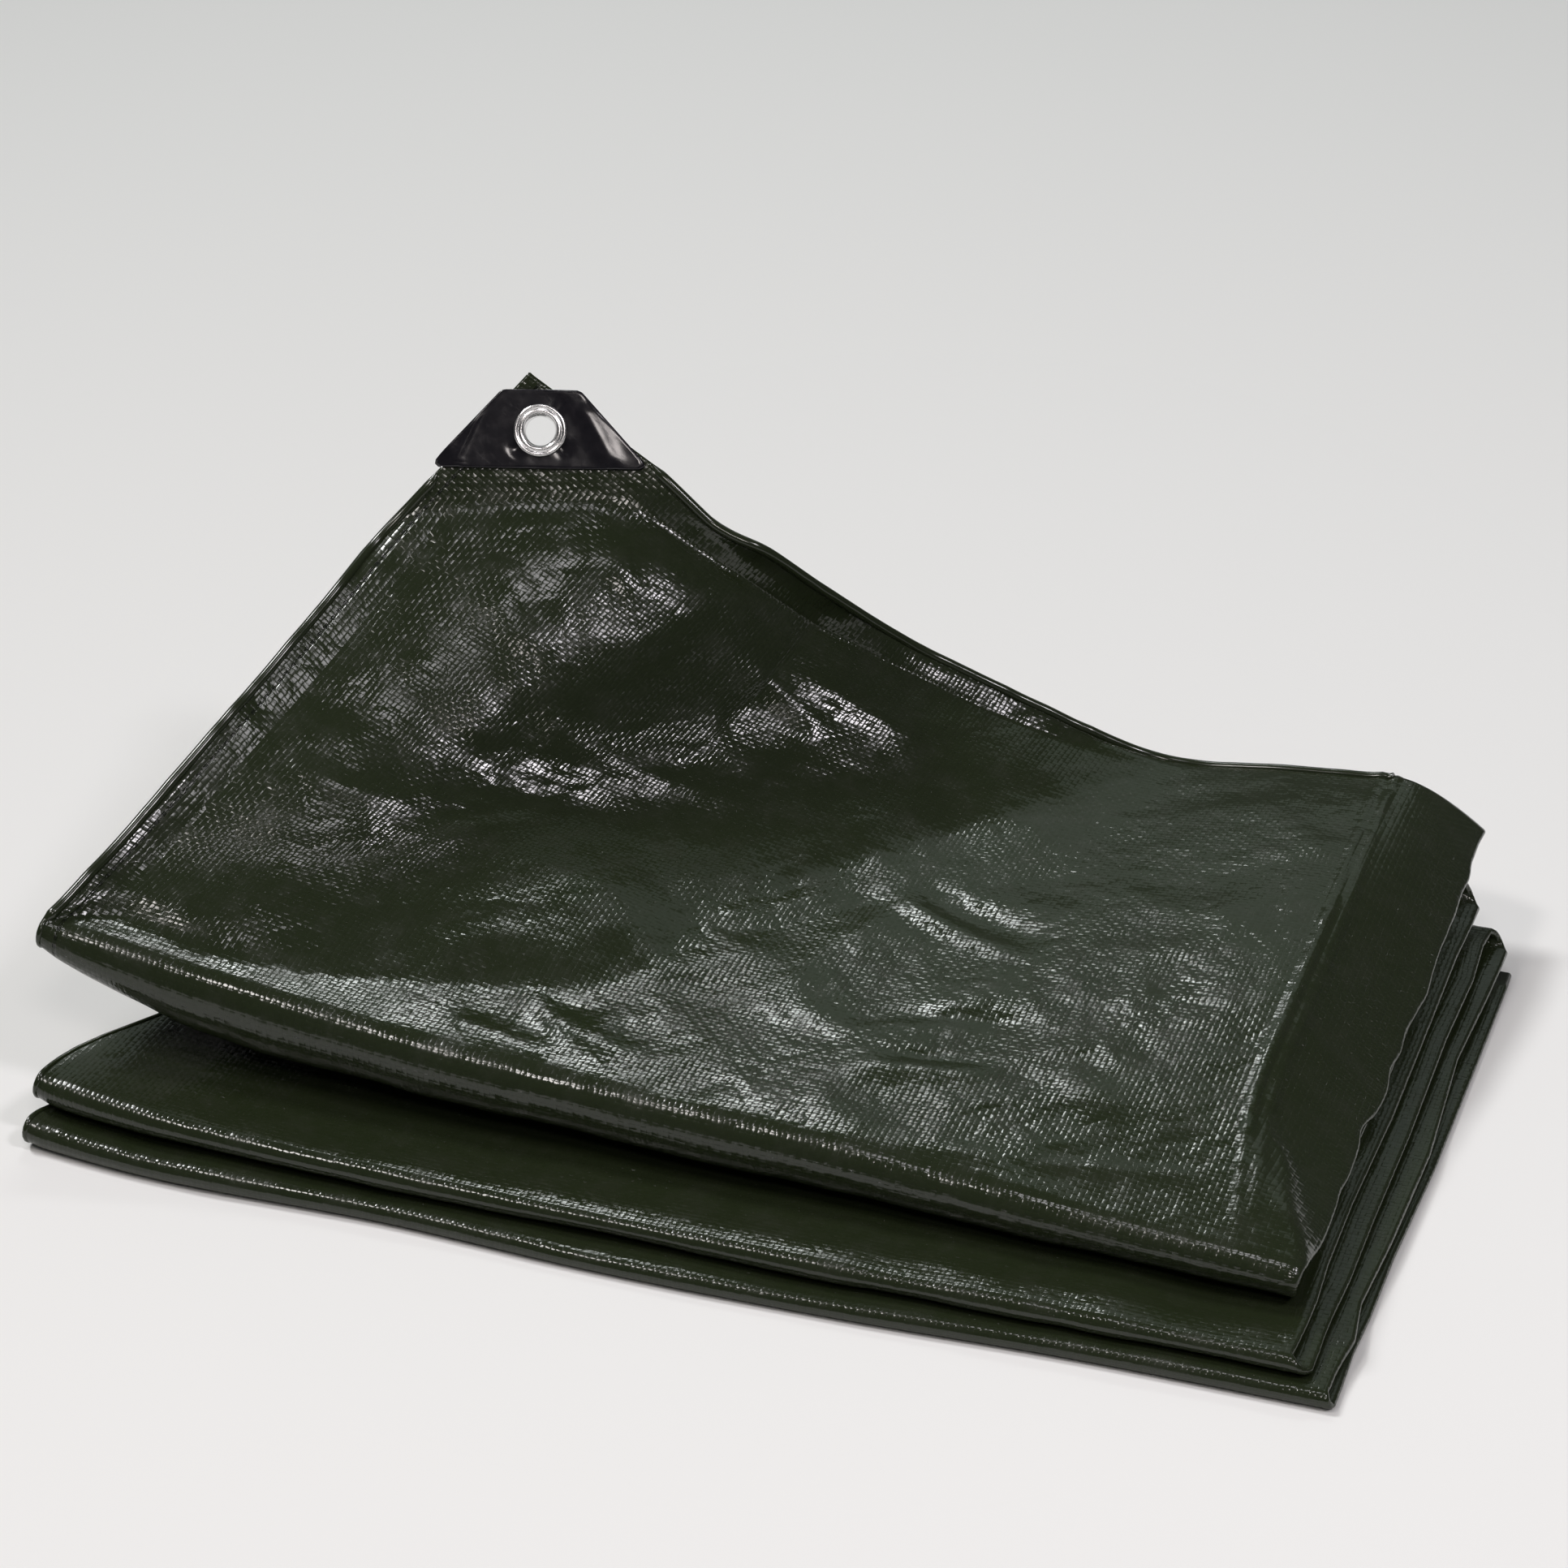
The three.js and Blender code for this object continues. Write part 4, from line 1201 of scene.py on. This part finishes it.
def spun(name, profile):
    """A closed ring spun about the eyelet's axis."""
    turn = np.linspace(0, 2 * math.pi, SPIN_STEPS, endpoint=False)
    rings = [on_corner(*around_eyelet(radius, turn), np.full(SPIN_STEPS, height))
             for radius, height in profile]
    faces = ring_faces(len(profile), SPIN_STEPS)
    return outward(mesh_object(name, np.concatenate(rings), faces, METAL))


# Rope in the sheet's hem, which shows as a bead along its border
BEAD_TOP = 2.1
BEAD_LOWER = 1.15
BEAD_UNDER_PATCH = 0.5
BEAD_SIDES = 10
BEAD_INSET = 0.75
BEAD_SPACING = 1.6
BEAD_STEP = 0.4
BEAD_CLEAR_ZONE = (58, 5)


def bead_tree():
    """Geometry nodes that turn a line of points into a round bead of the stored radius."""
    tree = bpy.data.node_groups.new("hem_bead", "GeometryNodeTree")
    tree.interface.new_socket("Geometry", in_out="INPUT", socket_type="NodeSocketGeometry")
    for label, kind in (("Spacing", "NodeSocketFloat"), ("Sides", "NodeSocketInt"),
                        ("Finish", "NodeSocketMaterial")):
        tree.interface.new_socket(label, in_out="INPUT", socket_type=kind)
    tree.interface.new_socket("Geometry", in_out="OUTPUT", socket_type="NodeSocketGeometry")
    made = Tree(tree)
    given = made.node("NodeGroupInput").outputs
    line = made.node("GeometryNodeMeshToCurve", {"Mesh": given["Geometry"]}).outputs[0]
    line = made.node("GeometryNodeResampleCurve", {"Curve": line, "Length": given["Spacing"]},
                     mode="LENGTH").outputs[0]
    size = made.node("GeometryNodeInputNamedAttribute", {"Name": "bead"}, data_type="FLOAT").outputs[0]
    ring = made.node("GeometryNodeCurvePrimitiveCircle",
                     {"Resolution": given["Sides"], "Radius": 1.0}).outputs[0]
    bead = made.node("GeometryNodeCurveToMesh", {"Curve": line, "Profile Curve": ring,
                                                 "Scale": size, "Fill Caps": True}).outputs[0]
    bead = made.node("GeometryNodeSetShadeSmooth", {"Geometry": bead}).outputs[0]
    bead = made.node("GeometryNodeRealizeInstances", {"Geometry": bead}).outputs[0]
    bead = made.node("GeometryNodeSetMaterial",
                     {"Geometry": bead, "Material": given["Finish"]}).outputs[0]
    made.feed(made.node("NodeGroupOutput").inputs["Geometry"], bead)
    return tree


def hem_ropes():
    """The hem's bead along the left edge of all plies, round the corner and along the back edge."""
    top_rows = HEM_ROWS + TOP_ROWS
    upper = HEM_COLUMNS + FLAP_COLUMNS + PANEL_COLUMNS + CREASE_COLUMNS
    border = [(GRID[row, 0], GRID[row, 1], BEAD_TOP if row < top_rows else BEAD_LOWER)
              for row in range(len(GRID) - 1, -1, -1)]
    border += [(GRID[0, col], GRID[1, col], BEAD_TOP) for col in range(1, upper)]
    inner = [(GRID[row, -1], GRID[row, -2], BEAD_LOWER) for row in range(len(GRID))]
    vertices = []
    radii = []
    edges = []
    for line in (border, inner):
        first = len(vertices)
        for number, (point, inward, radius) in enumerate(line):
            if number and np.linalg.norm(point - line[number - 1][0]) < BEAD_STEP:
                continue
            clear = ramp(np.linalg.norm(point - CORNER), *BEAD_CLEAR_ZONE)
            radius = mix(BEAD_UNDER_PATCH, radius, float(clear))
            centre = point + unit(inward - point) * radius * BEAD_INSET
            centre[2] = max(centre[2], radius)
            vertices.append(centre)
            radii.append(radius * MM)
        edges += [(i, i + 1) for i in range(first, len(vertices) - 1)]
    mesh = bpy.data.meshes.new("hem_ropes")
    mesh.from_pydata(in_metres(vertices), edges, [])
    mesh.attributes.new("bead", "FLOAT", "POINT").data.foreach_set("value", radii)
    obj = added("hem_ropes", mesh)
    tree = bead_tree()
    beads = obj.modifiers.new("beads", "NODES")
    beads.node_group = tree
    sizes = {"Spacing": BEAD_SPACING * MM, "Sides": BEAD_SIDES, "Finish": CLOTH}
    for item in tree.interface.items_tree:
        if item.name in sizes:
            beads[item.identifier] = sizes[item.name]
    return outward(applied(obj))


ropes = hem_ropes()
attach(ropes, "root")

for piece, node, slot in ((patch_plate("patch_plate_front", 1), "corner_patch_front", "patch"),
                          (patch_plate("patch_plate_back", -1), "corner_patch_back", "patch"),
                          (spun("eyelet_ring", EYELET_PROFILE), "eyelet", "eyelet"),
                          (spun("eyelet_backing", WASHER_PROFILE), "eyelet_washer", "eyelet")):
    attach(piece, "root")
    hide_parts(node)


# Studio
FLOOR_HALF = 12.0
FLOOR_COLOUR = (0.85, 0.85, 0.84, 1)
WORLD_COLOUR = (0.94, 0.97, 1.0, 1)
WORLD_STRENGTH = 0.06
LIT_HEIGHT = 0.06

# Soft lights: azimuth, elevation, distance, size, radiance, colour
SOFTBOXES = {
    "back_panel": (-20, 39, 2.6, (2.76, 1.39), 0.32, (0.86, 1.0, 0.92)),
    "back_strip": (-26, 45, 2.5, (0.5, 0.12), 24.0, (0.97, 1.0, 0.99)),
    "left_softbox": (-135, 58, 2.3, (0.45, 0.35), 22.0, (1.0, 0.95, 0.92)),
    "overhead": (170, 80, 2.2, (0.45, 0.35), 7.5, (1.0, 0.97, 1.0)),
    "front_softbox": (152, 43, 2.4, (0.45, 0.35), 16.5, (1.0, 0.93, 0.9)),
    "right_softbox": (108, 50, 2.4, (0.3, 0.35), 38.0, (1.0, 0.95, 1.0)),
}
WINDOW = {"azimuth": -75, "elevation": 50, "spread": 12, "strength": 1.4}


def stage_floor():
    size = FLOOR_HALF
    corners = [(-size, -size, 0), (size, -size, 0), (size, size, 0), (-size, size, 0)]
    mesh = bpy.data.meshes.new("floor")
    mesh.from_pydata(corners, [], [(0, 1, 2, 3)])
    made, tree, shader = start_material("floor_paper", Roughness=0.85)
    shader.inputs["Base Color"].default_value = FLOOR_COLOUR
    mesh.materials.append(made)
    floor = added("floor", mesh)


def direction(azimuth, elevation):
    """Unit vector towards a light, by its turn from straight behind and its rise."""
    turn = math.radians(azimuth)
    rise = math.radians(elevation)
    return Vector((math.sin(turn) * math.cos(rise), math.cos(turn) * math.cos(rise), math.sin(rise)))


def place_lamp(name, light, towards):
    lamp = added(name, light)
    lamp.rotation_euler = towards.to_track_quat("Z", "Y").to_euler()
    return lamp


def softbox(name, azimuth, elevation, distance, size, radiance, colour):
    """A soft rectangular light that faces the packet, placed by its direction from it."""
    light = bpy.data.lights.new(name, "AREA")
    light.shape = "RECTANGLE"
    light.size, light.size_y = size
    light.energy = radiance * math.pi * size[0] * size[1]
    light.color = colour
    target = Vector((0, 0, LIT_HEIGHT))
    place = target + distance * direction(azimuth, elevation)
    place_lamp(name, light, place - target).location = place


def side_window(azimuth, elevation, spread, strength):
    """Even, slightly soft light from one side that reaches all of the floor."""
    light = bpy.data.lights.new("side_window", "SUN")
    light.energy = strength
    light.angle = math.radians(spread)
    place_lamp("side_window", light, direction(azimuth, elevation))


# Camera at the photograph's viewing angle
CAMERA_PLACE = (0.40779, -1.08734, 0.6884)
CAMERA_TURN = (math.radians(63.3), 0.0, math.radians(20.8))
FRAME_PIXELS = 1932
FOCAL_PIXELS = 4500
SENSOR = 36.0


def make_camera():
    lens = bpy.data.cameras.new("camera")
    lens.sensor_width = SENSOR
    lens.lens = SENSOR * FOCAL_PIXELS / FRAME_PIXELS
    lens.dof.use_dof = False
    camera = added("camera", lens)
    camera.location = CAMERA_PLACE
    camera.rotation_euler = CAMERA_TURN
    bpy.context.scene.camera = camera


def make_world():
    world = bpy.data.worlds.new("studio")
    world.use_nodes = True
    sky = world.node_tree.nodes["Background"]
    sky.inputs[0].default_value = WORLD_COLOUR
    sky.inputs[1].default_value = WORLD_STRENGTH
    bpy.context.scene.world = world


make_camera()
stage_floor()
make_world()
for name, settings in SOFTBOXES.items():
    softbox(name, *settings)
side_window(**WINDOW)
bpy.context.scene.view_settings.view_transform = "Standard"
